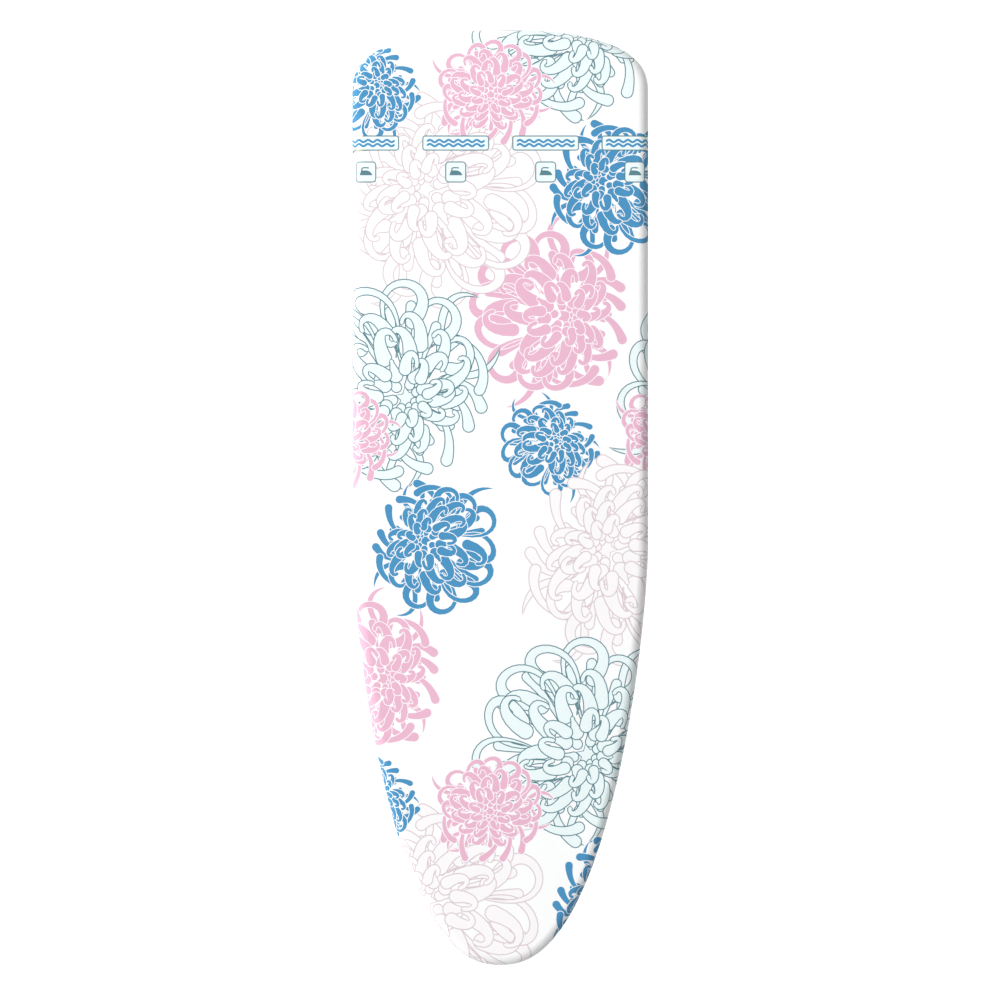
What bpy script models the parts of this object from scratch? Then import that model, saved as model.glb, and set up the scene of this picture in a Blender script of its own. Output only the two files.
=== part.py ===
"""Full-size ironing board on crossed folding legs, standing open at its top height.

Metres, +Z up. The origin is on the floor below the middle of the board. +Y runs from the
narrow nose to the wide end and +X to the right of somebody looking down with the nose
towards them. Everything is built at rest: legs open, release lever free, hook stowed.

How it works. Two leg frames cross at a pivot. The outer frame hangs from a fixed hinge rod
near the wide end. The inner frame ends in an axle held by a carriage, which slides along a
guide rod under the board. A spring-loaded plate tilts on that rod and grips it; squeezing
the release lever frees it. The pivot is as far from the hinge as from the axle, so that
triangle is isosceles: the frames always lean by equal and opposite angles and the axle
moves in a straight line.
"""

import math

import bmesh
import bpy
from mathutils import Vector

# Board outline
BOARD_LENGTH = 1.200
HALF_WIDTH = 0.190
NOSE_LENGTH = 0.540          # the part that narrows
NOSE_POWER_ALONG = 1.5
NOSE_POWER_ACROSS = 2.34
WIDE_END_DEPTH = 0.080       # how far the wide end's corners reach along the sides
WIDE_END_POWER = 2.5
NOSE_STEPS, SIDE_STEPS, WIDE_END_STEPS = 13, 4, 8

# Layers, as depths below the ironing surface
TOP_HEIGHT = 0.900
GAP = 0.0003                 # left between touching solids
CLOTH = 0.0012
SHOULDER = 0.014             # radius of the padded edge
FOAM_TOP, FOAM_BOTTOM = 0.0016, 0.0056
FELT_TOP, FELT_BOTTOM = 0.0059, 0.0088
DECK_TOP, DECK_BOTTOM = 0.0094, 0.0103
RIM_RADIUS, RIM_WALL, RIM_INSET = 0.008, 0.001, 0.014
RIM_DEPTH = DECK_BOTTOM + GAP + RIM_RADIUS
HEM_DEPTH = RIM_DEPTH + RIM_RADIUS + 0.0016
HEM_WIDTH = 0.030
HEM_CORD_RADIUS = 0.0015

# Steam holes in the deck
HOLE_PITCH, HOLE_HALF = Vector((0.044, 0.062)), Vector((0.013, 0.024))
HOLE_MARGIN, HOLE_MARGIN_WIDE_END = 0.030, 0.065   # kept from the edge

# Braces under the deck
BRACE_WIDTH, BRACE_HEIGHT, BRACE_WALL = 0.024, 0.012, 0.0012
BRACE_TOP = DECK_BOTTOM + GAP
BRACE_BOTTOM = BRACE_TOP + BRACE_HEIGHT
UNDER_BRACE = BRACE_BOTTOM + GAP
BRACE_PLACES = {"wide_end": 0.480, "hinge": 0.395, "middle": 0.045, "front": -0.210, "nose": -0.462}

# Legs
LEG_LENGTH = 1.000           # hinge axis to foot axis
LEG_UPPER = 0.400            # hinge axis to the crossing pivot
LEG_RADIUS, LEG_WALL = 0.011, 0.0012
OUTER_TRACK, INNER_TRACK = 0.105, 0.075   # leg tubes' distance from the middle
HINGE_Y = BRACE_PLACES["hinge"]
HINGE_DEPTH = 0.058
HINGE_HEIGHT = TOP_HEIGHT - HINGE_DEPTH
FOOT_HEIGHT = 0.014          # foot axis above the floor
LEG_ANGLE = math.asin((HINGE_HEIGHT - FOOT_HEIGHT) / LEG_LENGTH)
LEG_LEAN = math.pi / 2 - LEG_ANGLE
CROSS_TUBE_AT = 0.870        # lower cross tube, from the leg's top axis
CROSS_TUBE_RADIUS = 0.008
OUTER_FOOT_HALF, INNER_FOOT_HALF = 0.172, 0.195
FOOT_CAP_RADIUS, FOOT_CAP_LENGTH, FOOT_CAP_WALL = 0.0155, 0.042, 0.008
TUBE_OVERHANG = 0.014        # leg tube past its top axis
PLUG_HEAD, PLUG_DEPTH = 0.002, 0.005
PLUG_CHAMFER = 0.001

# Rods, pins and bolts
ROD_RADIUS = 0.005
ROD_BORE = 0.0053
ROTATING_BORE = 0.0056
ROD_CAP_RADIUS, ROD_CAP_LENGTH = 0.008, 0.0065
SLEEVE_RADIUS = 0.009
BRACKET_X, BRACKET_SHEET = 0.125, 0.0025
BRACKET_EYE_RADIUS, BRACKET_ROOT_RADIUS = 0.012, 0.0172
FLANGE_INNER_X, FLANGE_HALF_LENGTH = 0.103, 0.016
ROD_PAST_BRACKET = 0.004     # hinge rod's end, inside its cap
CAP_END_WALL = 0.0015
BOLT_RADIUS, BOLT_BORE, BOLT_HEAD_RADIUS, BOLT_HEAD = 0.004, 0.0046, 0.0075, 0.005
NUT_RADIUS, NUT_LENGTH = 0.0075, 0.0065
SPACER_RADIUS = 0.010

# Carriage, lock and lever
GUIDE_DEPTH = 0.036
GUIDE_OVERHANG = 0.012       # guide rod past the middle of each clamp
CLAMP_SIZE = Vector((0.030, 0.016, 0.0255))
CARRIAGE_HALF = Vector((0.025, 0.032))
CARRIAGE_TOP, CARRIAGE_BOTTOM = 0.027, 0.068
CARRIAGE_BORE, CARRIAGE_EDGE = 0.0055, 0.004
PLATE_SLOT_HALF, PLATE_SLOT_SIDE = 0.0058, 0.001   # the slot's half length, and room beside the plate
LEVER_PIN_RADIUS, LEVER_PIN_BORE = 0.003, 0.0033
LEVER_PIN_AHEAD = 0.016      # pin in front of the axle
PLATE_HALF_WIDTH, PLATE_THICKNESS, PLATE_TOP, PLATE_BOTTOM = 0.011, 0.003, 0.025, 0.060
PLATE_BORE, PLATE_EYE_RADIUS = 0.0060, 0.0052
PLATE_TILT = math.radians(-5)   # leaning back against the rod, gripping it
LEVER_REACH, LEVER_DROOP = 0.105, math.radians(10)
LEVER_ARM_X, LEVER_ARM_THICKNESS = 0.0277, 0.004
LEVER_EYE_RADIUS, LEVER_END_RADIUS = 0.009, 0.0075
LEVER_PIN_OVERHANG = 0.008   # pin past each arm, one end carrying the spring
GRIP_HALF, GRIP_RADIUS, GRIP_BAR_RADIUS = 0.048, 0.0095, 0.0062
SPRING_RADIUS, SPRING_WIRE, SPRING_TURNS = 0.0052, 0.0007, 4

# Hook that keeps the folded legs together
HOOK_Y, HOOK_DEPTH = BRACE_PLACES["wide_end"], 0.034
HOOK_REACH = 0.0638
HOOK_HALF_THICKNESS = 0.005
HOOK_MOUTH, HOOK_WALL = 0.0088, 0.004
HOOK_PIN_RADIUS = 0.002
HOOK_EYE_RADIUS, HOOK_SHANK_RADIUS = 0.0065, 0.0042
HOOK_BRACKET_SHEET, HOOK_BRACKET_HALF, HOOK_BRACKET_BELOW, HOOK_SIDE_ROOM = 0.002, 0.008, 0.006, 0.0006
HOOK_PIN_OVERHANG = 0.0015

COLOURS = {
    "cotton": ((0.93, 0.93, 0.93), 0.85, 0.0),
    "foam": ((0.82, 0.80, 0.74), 0.90, 0.0),
    "felt": ((0.62, 0.63, 0.64), 0.95, 0.0),
    "white_paint": ((0.86, 0.87, 0.88), 0.40, 0.2),
    "zinc": ((0.70, 0.71, 0.73), 0.32, 0.9),
    "blue_plastic": ((0.12, 0.36, 0.62), 0.45, 0.0),
    "grey_plastic": ((0.32, 0.34, 0.36), 0.50, 0.0),
    "rubber": ((0.10, 0.10, 0.11), 0.75, 0.0),
}


# ---------------------------------------------------------------- making objects

def clear_scene():
    for obj in list(bpy.data.objects):
        bpy.data.objects.remove(obj)


def make_material(name):
    colour, roughness, metallic = COLOURS[name]
    material = bpy.data.materials.new(name)
    material.use_nodes = True
    shader = material.node_tree.nodes["Principled BSDF"]
    shader.inputs["Base Color"].default_value = (*colour, 1.0)
    shader.inputs["Roughness"].default_value = roughness
    shader.inputs["Metallic"].default_value = metallic
    return material


def make_axis(name, location, lean=0.0):
    """An empty on a joint's axis; the pieces that turn there are its children."""
    empty = bpy.data.objects.new(name, None)
    empty.location = location
    empty.rotation_euler = (lean, 0.0, 0.0)
    bpy.context.scene.collection.objects.link(empty)
    return empty


def add_object(name, bm, material, parent=None):
    bmesh.ops.recalc_face_normals(bm, faces=bm.faces)
    mesh = bpy.data.meshes.new(name)
    bm.to_mesh(mesh)
    bm.free()
    mesh.shade_smooth()
    mesh.set_sharp_from_angle(angle=math.radians(35))
    obj = bpy.data.objects.new(name, mesh)
    bpy.context.scene.collection.objects.link(obj)
    obj.parent = parent
    if material:
        mesh.materials.append(bpy.data.materials[material])
    return obj


def skin(rings, wrap=False):
    """Faces between successive rings; the last joins the first, or both ends are capped."""
    bm = bmesh.new()
    loops = [[bm.verts.new(point) for point in ring] for ring in rings]
    pairs = list(zip(loops, loops[1:]))
    if wrap:
        pairs.append((loops[-1], loops[0]))
    else:
        bm.faces.new(loops[0])
        bm.faces.new(loops[-1])
    count = len(rings[0])
    for near, far in pairs:
        for i in range(count):
            j = (i + 1) % count
            bm.faces.new((near[i], near[j], far[j], far[i]))
    return bm


def circle(centre, along, radius, sides):
    """Points of a circle round the direction `along`, with the first pair level with the top."""
    turn = along.to_track_quat("Z", "Y").to_matrix()
    step = 2 * math.pi / sides
    return [
        centre + turn @ Vector((math.cos((i + 0.5) * step), math.sin((i + 0.5) * step), 0)) * radius
        for i in range(sides)
    ]


def bar(name, start, end, radius, material, parent=None, sides=16):
    start, end = Vector(start), Vector(end)
    along = end - start
    rings = [circle(point, along, radius, sides) for point in (start, end)]
    return add_object(name, skin(rings), material, parent)


def pipe(name, start, end, radius, bore, material, parent=None, sides=16):
    start, end = Vector(start), Vector(end)
    along = end - start
    rings = [circle(point, along, radius, sides) for point in (start, end)]
    rings += [circle(point, along, bore, sides) for point in (end, start)]
    return add_object(name, skin(rings, wrap=True), material, parent)


def cup(name, mouth, end, radius, bore, depth, material, parent=None, sides=16):
    """A round cap with a blind hole; `mouth` is its open end."""
    mouth, end = Vector(mouth), Vector(end)
    along = (end - mouth).normalized()
    bottom = mouth + along * depth
    edge = 0.15 * radius
    rings = [
        circle(bottom, along, bore, sides),
        circle(mouth, along, bore, sides),
        circle(mouth, along, radius, sides),
        circle(end - along * edge, along, radius, sides),
        circle(end, along, radius - edge, sides),
    ]
    return add_object(name, skin(rings), material, parent)


def box(name, low, high, material, parent=None):
    (x0, y0, z0), (x1, y1, z1) = low, high
    rings = [
        [Vector((x0, y0, z)), Vector((x1, y0, z)), Vector((x1, y1, z)), Vector((x0, y1, z))]
        for z in (z0, z1)
    ]
    return add_object(name, skin(rings), material, parent)


def slab_x(name, outline, x0, x1, material, parent=None):
    """An outline in the (y, z) plane, extruded along X."""
    rings = [[Vector((x, y, z)) for y, z in outline] for x in (x0, x1)]
    return add_object(name, skin(rings), material, parent)


def slab_y(name, outline, y0, y1, material, parent=None):
    """An outline in the (x, z) plane, extruded along Y."""
    rings = [[Vector((x, y, z)) for x, z in outline] for y in (y0, y1)]
    return add_object(name, skin(rings), material, parent)


def boolean(obj, other, operation):
    """Cuts or joins with a helper, which is then hidden."""
    other.hide_render = True
    other.display_type = "WIRE"
    modifier = obj.modifiers.new(operation.lower() + "_" + other.name, "BOOLEAN")
    modifier.operation = operation
    modifier.solver = "EXACT"
    modifier.object = other
    return obj


def drill(obj, start, end, radius, parent=None, sides=16):
    cutter = bar(obj.name + "_hole", start, end, radius, None, parent, sides)
    return boolean(obj, cutter, "DIFFERENCE")


def soften(obj, width, segments=2, angle=40):
    modifier = obj.modifiers.new("soft_edges", "BEVEL")
    modifier.width = width
    modifier.segments = segments
    modifier.limit_method = "ANGLE"
    modifier.angle_limit = math.radians(angle)
    return obj


def link_outline(start, start_radius, end, end_radius, steps=6):
    """The outline of a straight link: two round ends and the tangents between them."""
    (y0, z0), (y1, z1) = start, end
    heading = math.atan2(z1 - z0, y1 - y0)
    spread = math.acos((start_radius - end_radius) / math.hypot(y1 - y0, z1 - z0))
    points = []
    for i in range(steps + 1):
        a = heading + spread + (2 * math.pi - 2 * spread) * i / steps
        points.append((y0 + start_radius * math.cos(a), z0 + start_radius * math.sin(a)))
    for i in range(steps + 1):
        a = heading - spread + 2 * spread * i / steps
        points.append((y1 + end_radius * math.cos(a), z1 + end_radius * math.sin(a)))
    return points


# ---------------------------------------------------------------- the board's outline

def half_outline():
    """The right half of the board's edge, from the tip of the nose to the wide end's middle."""
    points = []
    for i in range(NOSE_STEPS + 1):
        a = math.pi / 2 * i / NOSE_STEPS
        across = math.sin(a) ** (2 / NOSE_POWER_ACROSS)
        along = 1 - max(math.cos(a), 0.0) ** (2 / NOSE_POWER_ALONG)
        points.append(Vector((HALF_WIDTH * across, NOSE_LENGTH * along - BOARD_LENGTH / 2)))
    side_start = NOSE_LENGTH - BOARD_LENGTH / 2
    side_end = BOARD_LENGTH / 2 - WIDE_END_DEPTH
    for i in range(1, SIDE_STEPS):
        points.append(Vector((HALF_WIDTH, side_start + (side_end - side_start) * i / SIDE_STEPS)))
    for i in range(WIDE_END_STEPS + 1):
        a = math.pi / 2 * i / WIDE_END_STEPS
        across = max(math.cos(a), 0.0) ** (2 / WIDE_END_POWER)
        along = math.sin(a) ** (2 / WIDE_END_POWER)
        points.append(Vector((HALF_WIDTH * across, side_end + WIDE_END_DEPTH * along)))
    points[0].x = 0.0
    points[-1].x = 0.0
    return points


def outline(inset):
    """The closed edge, moved inwards by `inset`."""
    right = half_outline()
    left = [Vector((-p.x, p.y)) for p in reversed(right[1:-1])]
    points = right + left
    moved = []
    for i, point in enumerate(points):
        before = (point - points[i - 1]).normalized()
        after = (points[(i + 1) % len(points)] - point).normalized()
        tangent = (before + after).normalized()
        inwards = Vector((-tangent.y, tangent.x))
        moved.append(point + inwards * inset / max(tangent.dot(after), 0.5))
    return moved


def half_width_at(y):
    """Half the board's width at a place along it."""
    from_nose = y + BOARD_LENGTH / 2
    if from_nose >= NOSE_LENGTH:
        return HALF_WIDTH
    share = (1 - from_nose / NOSE_LENGTH) ** NOSE_POWER_ALONG
    return HALF_WIDTH * (1 - share) ** (1 / NOSE_POWER_ACROSS)


def edge_ring(inset, depth):
    return [Vector((p.x, p.y, TOP_HEIGHT - depth)) for p in outline(inset)]


# ---------------------------------------------------------------- board top

def build_soft_layers():
    foam_rings = [
        edge_ring(0.0053, FOAM_BOTTOM),
        edge_ring(0.0053, FOAM_BOTTOM - 0.0004),
        edge_ring(0.0092, 0.0032),
        edge_ring(SHOULDER + GAP, FOAM_TOP),
    ]
    add_object("foam_pad", skin(foam_rings), "foam")
    felt_rings = [edge_ring(0.0050, FELT_BOTTOM), edge_ring(0.0053, FELT_TOP)]
    add_object("felt_underlay", skin(felt_rings), "felt")


def cover_profile(inwards):
    """(inset, depth) from the top's edge round the shoulder to the hem's end."""
    radius = SHOULDER - inwards
    turn = 0.008 - inwards
    shoulder = [
        (SHOULDER - radius * math.sin(a), SHOULDER - radius * math.cos(a))
        for a in (math.pi / 2 * i / 4 for i in range(5))
    ]
    low = HEM_DEPTH - 0.008
    under = [
        (0.008 - turn * math.cos(a), low + turn * math.sin(a))
        for a in (math.pi / 2 * i / 3 for i in range(4))
    ]
    return shoulder + under + [(HEM_WIDTH, HEM_DEPTH - inwards)]


def build_cover():
    rings = [edge_ring(*point) for point in cover_profile(0.0)]
    rings += [edge_ring(*point) for point in reversed(cover_profile(CLOTH))]
    add_object("cotton_cover", skin(rings), "cotton")
    cord_path = edge_ring(HEM_WIDTH + HEM_CORD_RADIUS + GAP, HEM_DEPTH - CLOTH / 2)
    add_object("hem_cord", skin(closed_sweep(cord_path, HEM_CORD_RADIUS, 6), wrap=True), "cotton")


def closed_sweep(path, radius, sides):
    count = len(path)
    return [
        circle(path[i], path[(i + 1) % count] - path[i - 1], radius, sides) for i in range(count)
    ]


def build_rim():
    """A bent tube along the edge; its two ends meet at the middle of the wide end."""
    path = edge_ring(RIM_INSET, RIM_DEPTH)
    joint = len(half_outline()) - 1
    path = path[joint:] + path[:joint + 1]
    path[0] = path[0] + Vector((-GAP, 0, 0))
    path[-1] = path[-1] + Vector((GAP, 0, 0))

    def rings(radius):
        made = []
        for i, point in enumerate(path):
            ends = path[max(i - 1, 0)], path[min(i + 1, len(path) - 1)]
            along = Vector((-1, 0, 0)) if i in (0, len(path) - 1) else ends[1] - ends[0]
            made.append(circle(point, along, radius, 8))
        return made

    wall = rings(RIM_RADIUS) + list(reversed(rings(RIM_RADIUS - RIM_WALL)))
    add_object("rim_tube", skin(wall, wrap=True), "white_paint")


def build_deck():
    """A pressed sheet with rows of diamond steam holes."""
    rings = [edge_ring(0.008, DECK_BOTTOM), edge_ring(0.008, DECK_TOP)]
    deck = add_object("deck_sheet", skin(rings), "white_paint")
    half = HOLE_HALF
    cutter = bmesh.new()
    rows = int(BOARD_LENGTH / HOLE_PITCH.y)
    for row in range(rows):
        y = (row - (rows - 1) / 2) * HOLE_PITCH.y
        at_corner = y > BOARD_LENGTH / 2 - WIDE_END_DEPTH + half.y
        margin = HOLE_MARGIN_WIDE_END if at_corner else HOLE_MARGIN
        reach = min(half_width_at(y - half.y), half_width_at(y + half.y)) - margin
        shift = 0.5 if row % 2 else 0.0
        columns = [(column + shift) * HOLE_PITCH.x for column in range(-5, 6)]
        for x in columns:
            if abs(x) + half.x <= reach:
                add_diamond(cutter, x, y, half.x, half.y)
    holes = add_object("steam_holes", cutter, None)
    boolean(deck, holes, "DIFFERENCE")


def add_diamond(bm, x, y, half_x, half_y):
    low, high = TOP_HEIGHT - DECK_BOTTOM - 0.002, TOP_HEIGHT - DECK_TOP + 0.002
    corners = ((x - half_x, y), (x, y - half_y), (x + half_x, y), (x, y + half_y))
    bottom = [bm.verts.new((cx, cy, low)) for cx, cy in corners]
    top = [bm.verts.new((cx, cy, high)) for cx, cy in corners]
    bm.faces.new(bottom)
    bm.faces.new(top)
    for i in range(4):
        j = (i + 1) % 4
        bm.faces.new((bottom[i], bottom[j], top[j], top[i]))


def build_braces():
    """Flat tubes across the frame, welded between the rim's two sides."""
    top, bottom = TOP_HEIGHT - BRACE_TOP, TOP_HEIGHT - BRACE_BOTTOM
    for name, y in BRACE_PLACES.items():
        reach = half_width_at(y - BRACE_WIDTH / 2) - RIM_INSET - RIM_RADIUS - 0.0015
        y0, y1 = y - BRACE_WIDTH / 2, y + BRACE_WIDTH / 2
        rings = []
        for wall, x in ((0, -reach), (0, reach), (BRACE_WALL, reach), (BRACE_WALL, -reach)):
            rings.append([
                Vector((x, y0 + wall, bottom + wall)),
                Vector((x, y1 - wall, bottom + wall)),
                Vector((x, y1 - wall, top - wall)),
                Vector((x, y0 + wall, top - wall)),
            ])
        add_object("brace_" + name, skin(rings, wrap=True), "white_paint")


def build_hinge_mount():
    """The brackets, rod, spacers and push caps that the outer legs hang from."""
    top = TOP_HEIGHT - UNDER_BRACE
    rod_end = BRACKET_X + BRACKET_SHEET + ROD_PAST_BRACKET
    for side, x in (("left", -1), ("right", 1)):
        inner, outer = x * BRACKET_X, x * (BRACKET_X + BRACKET_SHEET)
        web = slab_x(
            "hinge_bracket_" + side,
            link_outline((HINGE_Y, HINGE_HEIGHT), BRACKET_EYE_RADIUS,
                         (HINGE_Y, top - BRACKET_ROOT_RADIUS - GAP), BRACKET_ROOT_RADIUS),
            inner, outer, "white_paint")
        flange = box(
            "hinge_flange_" + side,
            (min(x * FLANGE_INNER_X, outer), HINGE_Y - FLANGE_HALF_LENGTH, top - BRACKET_SHEET),
            (max(x * FLANGE_INNER_X, outer), HINGE_Y + FLANGE_HALF_LENGTH, top), None)
        boolean(web, flange, "UNION")
        drill(web, (inner - x * 0.004, HINGE_Y, HINGE_HEIGHT),
              (outer + x * 0.004, HINGE_Y, HINGE_HEIGHT), ROD_BORE)
        pipe("hinge_spacer_" + side,
             (x * (OUTER_TRACK + LEG_RADIUS + GAP), HINGE_Y, HINGE_HEIGHT),
             (x * (BRACKET_X - GAP), HINGE_Y, HINGE_HEIGHT),
             SPACER_RADIUS, ROD_BORE, "grey_plastic")
        cap_start = x * (BRACKET_X + BRACKET_SHEET + GAP)
        cup("hinge_cap_" + side, (cap_start, HINGE_Y, HINGE_HEIGHT),
            (cap_start + x * ROD_CAP_LENGTH, HINGE_Y, HINGE_HEIGHT),
            ROD_CAP_RADIUS, ROD_BORE, ROD_CAP_LENGTH - CAP_END_WALL, "grey_plastic")
    bar("hinge_rod", (-rod_end, HINGE_Y, HINGE_HEIGHT), (rod_end, HINGE_Y, HINGE_HEIGHT),
        ROD_RADIUS, "zinc")


def build_guide():
    """The guide rod and the two blocks that hold it under the middle and nose braces."""
    z = TOP_HEIGHT - GUIDE_DEPTH
    rear, front = BRACE_PLACES["middle"], BRACE_PLACES["nose"]
    for name, y in (("rear", rear), ("front", front)):
        top = TOP_HEIGHT - UNDER_BRACE
        low = (-CLAMP_SIZE.x / 2, y - CLAMP_SIZE.y / 2, top - CLAMP_SIZE.z)
        high = (CLAMP_SIZE.x / 2, y + CLAMP_SIZE.y / 2, top)
        block = soften(box("guide_clamp_" + name, low, high, "grey_plastic"), 0.002, 1)
        drill(block, (0, y - 0.02, z), (0, y + 0.02, z), ROD_BORE)
    bar("guide_rod", (0, front - GUIDE_OVERHANG, z), (0, rear + GUIDE_OVERHANG, z), ROD_RADIUS, "zinc")


# ---------------------------------------------------------------- legs

def leg_tube(name, x, top, bottom, material, parent, holes):
    """A straight leg tube hanging down its frame's own -Z, with cross holes at given heights."""
    tube = pipe(name, (x, 0, top), (x, 0, bottom), LEG_RADIUS, LEG_RADIUS - LEG_WALL,
                material, parent)
    for z, radius in holes:
        reach = LEG_RADIUS + 0.004
        drill(tube, (x - reach, 0, z), (x + reach, 0, z), radius, parent)
    return tube


def tube_plug(name, x, tube_end, parent):
    """The push-in plug that closes a leg tube's open top."""
    body = LEG_RADIUS - LEG_WALL - GAP
    levels = ((tube_end - PLUG_DEPTH, body), (tube_end + GAP, body), (tube_end + GAP, LEG_RADIUS),
              (tube_end + PLUG_HEAD, LEG_RADIUS - PLUG_CHAMFER))
    rings = [circle(Vector((x, 0, z)), Vector((0, 0, 1)), radius, 16) for z, radius in levels]
    add_object(name, skin(rings), "grey_plastic", parent)


def foot(prefix, half, parent, axis_z, lean):
    """The bar across a leg frame's lower end and its two rubber caps, flat underneath."""
    pipe(prefix + "_foot_bar", (-half, 0, axis_z), (half, 0, axis_z),
         LEG_RADIUS, LEG_RADIUS - LEG_WALL, "white_paint", parent)
    for side, x in (("left", -1), ("right", 1)):
        holder = make_axis(prefix + "_foot_level_" + side, (0, 0, axis_z), -lean)
        holder.parent = parent
        mouth = x * (half - FOOT_CAP_LENGTH + FOOT_CAP_WALL)
        end = x * (half + FOOT_CAP_WALL)
        cap = cup(prefix + "_foot_cap_" + side, (mouth, 0, 0), (end, 0, 0), FOOT_CAP_RADIUS,
                  LEG_RADIUS + GAP, FOOT_CAP_LENGTH - FOOT_CAP_WALL + GAP, "rubber", holder, 20)
        sole = box(cap.name + "_sole_cut", (min(mouth, end) - 0.01, -0.03, -0.03),
                   (max(mouth, end) + 0.01, 0.03, -FOOT_HEIGHT), None, holder)
        boolean(cap, sole, "DIFFERENCE")


def build_outer_leg():
    axis = make_axis("outer_leg_axis", (0, HINGE_Y, HINGE_HEIGHT), -LEG_LEAN)
    bottom = -LEG_LENGTH + LEG_RADIUS + GAP
    inner_face = OUTER_TRACK - LEG_RADIUS - GAP
    for side, x in (("left", -1), ("right", 1)):
        leg_tube("outer_leg_tube_" + side, x * OUTER_TRACK, TUBE_OVERHANG, bottom, "white_paint",
                 axis, ((0, ROTATING_BORE), (-LEG_UPPER, BOLT_BORE)))
        tube_plug("outer_leg_plug_" + side, x * OUTER_TRACK, TUBE_OVERHANG, axis)
    pipe("outer_leg_hinge_sleeve", (-inner_face, 0, 0), (inner_face, 0, 0), SLEEVE_RADIUS,
         ROTATING_BORE, "white_paint", axis)
    pipe("outer_leg_cross_tube", (-inner_face, 0, -CROSS_TUBE_AT), (inner_face, 0, -CROSS_TUBE_AT),
         CROSS_TUBE_RADIUS, CROSS_TUBE_RADIUS - LEG_WALL, "white_paint", axis)
    foot("outer_leg", OUTER_FOOT_HALF, axis, -LEG_LENGTH, -LEG_LEAN)
    build_pivot(axis)


def build_pivot(axis):
    """The two bolts that the frames cross on, each with a nut and a spacer between the tubes."""
    z = -LEG_UPPER
    head_face = OUTER_TRACK + LEG_RADIUS + GAP
    nut_face = INNER_TRACK - LEG_RADIUS - GAP
    for side, x in (("left", -1), ("right", 1)):
        shank_end = nut_face - NUT_LENGTH - 0.002
        bolt = bar("pivot_bolt_" + side, (x * shank_end, 0, z), (x * (head_face + 0.002), 0, z),
                   BOLT_RADIUS, "zinc", axis)
        head = bar("bolt_head_" + side, (x * head_face, 0, z),
                   (x * (head_face + BOLT_HEAD), 0, z), BOLT_HEAD_RADIUS, None, axis)
        boolean(bolt, head, "UNION")
        pipe("pivot_nut_" + side, (x * nut_face, 0, z), (x * (nut_face - NUT_LENGTH), 0, z),
             NUT_RADIUS, (BOLT_RADIUS + GAP) / math.cos(math.pi / 6), "zinc", axis, sides=6)
        pipe("pivot_spacer_" + side, (x * (INNER_TRACK + LEG_RADIUS + GAP), 0, z),
             (x * (OUTER_TRACK - LEG_RADIUS - GAP), 0, z), SPACER_RADIUS, BOLT_BORE,
             "grey_plastic", axis)


def build_inner_leg():
    pivot_y = HINGE_Y - LEG_UPPER * math.cos(LEG_ANGLE)
    pivot_z = HINGE_HEIGHT - LEG_UPPER * math.sin(LEG_ANGLE)
    axis = make_axis("inner_leg_axis", (0, pivot_y, pivot_z), LEG_LEAN)
    top, foot_z = LEG_UPPER, LEG_UPPER - LEG_LENGTH
    bottom = foot_z + LEG_RADIUS + GAP
    inner_face = INNER_TRACK - LEG_RADIUS - GAP
    outer_face = INNER_TRACK + LEG_RADIUS + GAP
    for side, x in (("left", -1), ("right", 1)):
        leg_tube("inner_leg_tube_" + side, x * INNER_TRACK, top + TUBE_OVERHANG, bottom,
                 "white_paint", axis, ((top, ROD_BORE), (0, BOLT_BORE)))
        tube_plug("inner_leg_plug_" + side, x * INNER_TRACK, top + TUBE_OVERHANG, axis)
        cup("axle_cap_" + side, (x * outer_face, 0, top),
            (x * (outer_face + ROD_CAP_LENGTH), 0, top), ROD_CAP_RADIUS, ROD_BORE,
            ROD_CAP_LENGTH - CAP_END_WALL, "grey_plastic", axis)
    axle_end = outer_face + ROD_PAST_BRACKET
    bar("slider_axle", (-axle_end, 0, top), (axle_end, 0, top), ROD_RADIUS, "zinc", axis)
    cross_z = top - CROSS_TUBE_AT
    pipe("inner_leg_cross_tube", (-inner_face, 0, cross_z), (inner_face, 0, cross_z),
         CROSS_TUBE_RADIUS, CROSS_TUBE_RADIUS - LEG_WALL, "white_paint", axis)
    foot("inner_leg", INNER_FOOT_HALF, axis, foot_z, LEG_LEAN)


# ---------------------------------------------------------------- carriage and lever

def axle_y():
    return HINGE_Y - 2 * LEG_UPPER * math.cos(LEG_ANGLE)


def build_carriage():
    """The moulding that slides along the guide rod and carries the axle, lock plate and lever."""
    axis = make_axis("carriage_axis", (0, axle_y(), HINGE_HEIGHT))
    up, down = HINGE_DEPTH - CARRIAGE_TOP, HINGE_DEPTH - CARRIAGE_BOTTOM
    rod_z = HINGE_DEPTH - GUIDE_DEPTH
    half = CARRIAGE_HALF
    housing = box("carriage_housing", (-half.x, -half.y, down), (half.x, half.y, up),
                  "blue_plastic", axis)
    soften(housing, CARRIAGE_EDGE, 2)
    drill(housing, (0, -0.05, rod_z), (0, 0.05, rod_z), CARRIAGE_BORE, axis)
    drill(housing, (-0.04, 0, 0), (0.04, 0, 0), ROTATING_BORE, axis)
    drill(housing, (-0.04, LEVER_PIN_AHEAD, 0), (0.04, LEVER_PIN_AHEAD, 0), LEVER_PIN_BORE, axis)
    slot_half = PLATE_HALF_WIDTH + PLATE_SLOT_SIDE
    slot = box("lock_plate_slot", (-slot_half, LEVER_PIN_AHEAD - PLATE_SLOT_HALF, down - 0.01),
               (slot_half, LEVER_PIN_AHEAD + PLATE_SLOT_HALF, up + 0.01), None, axis)
    boolean(housing, slot, "DIFFERENCE")


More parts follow.
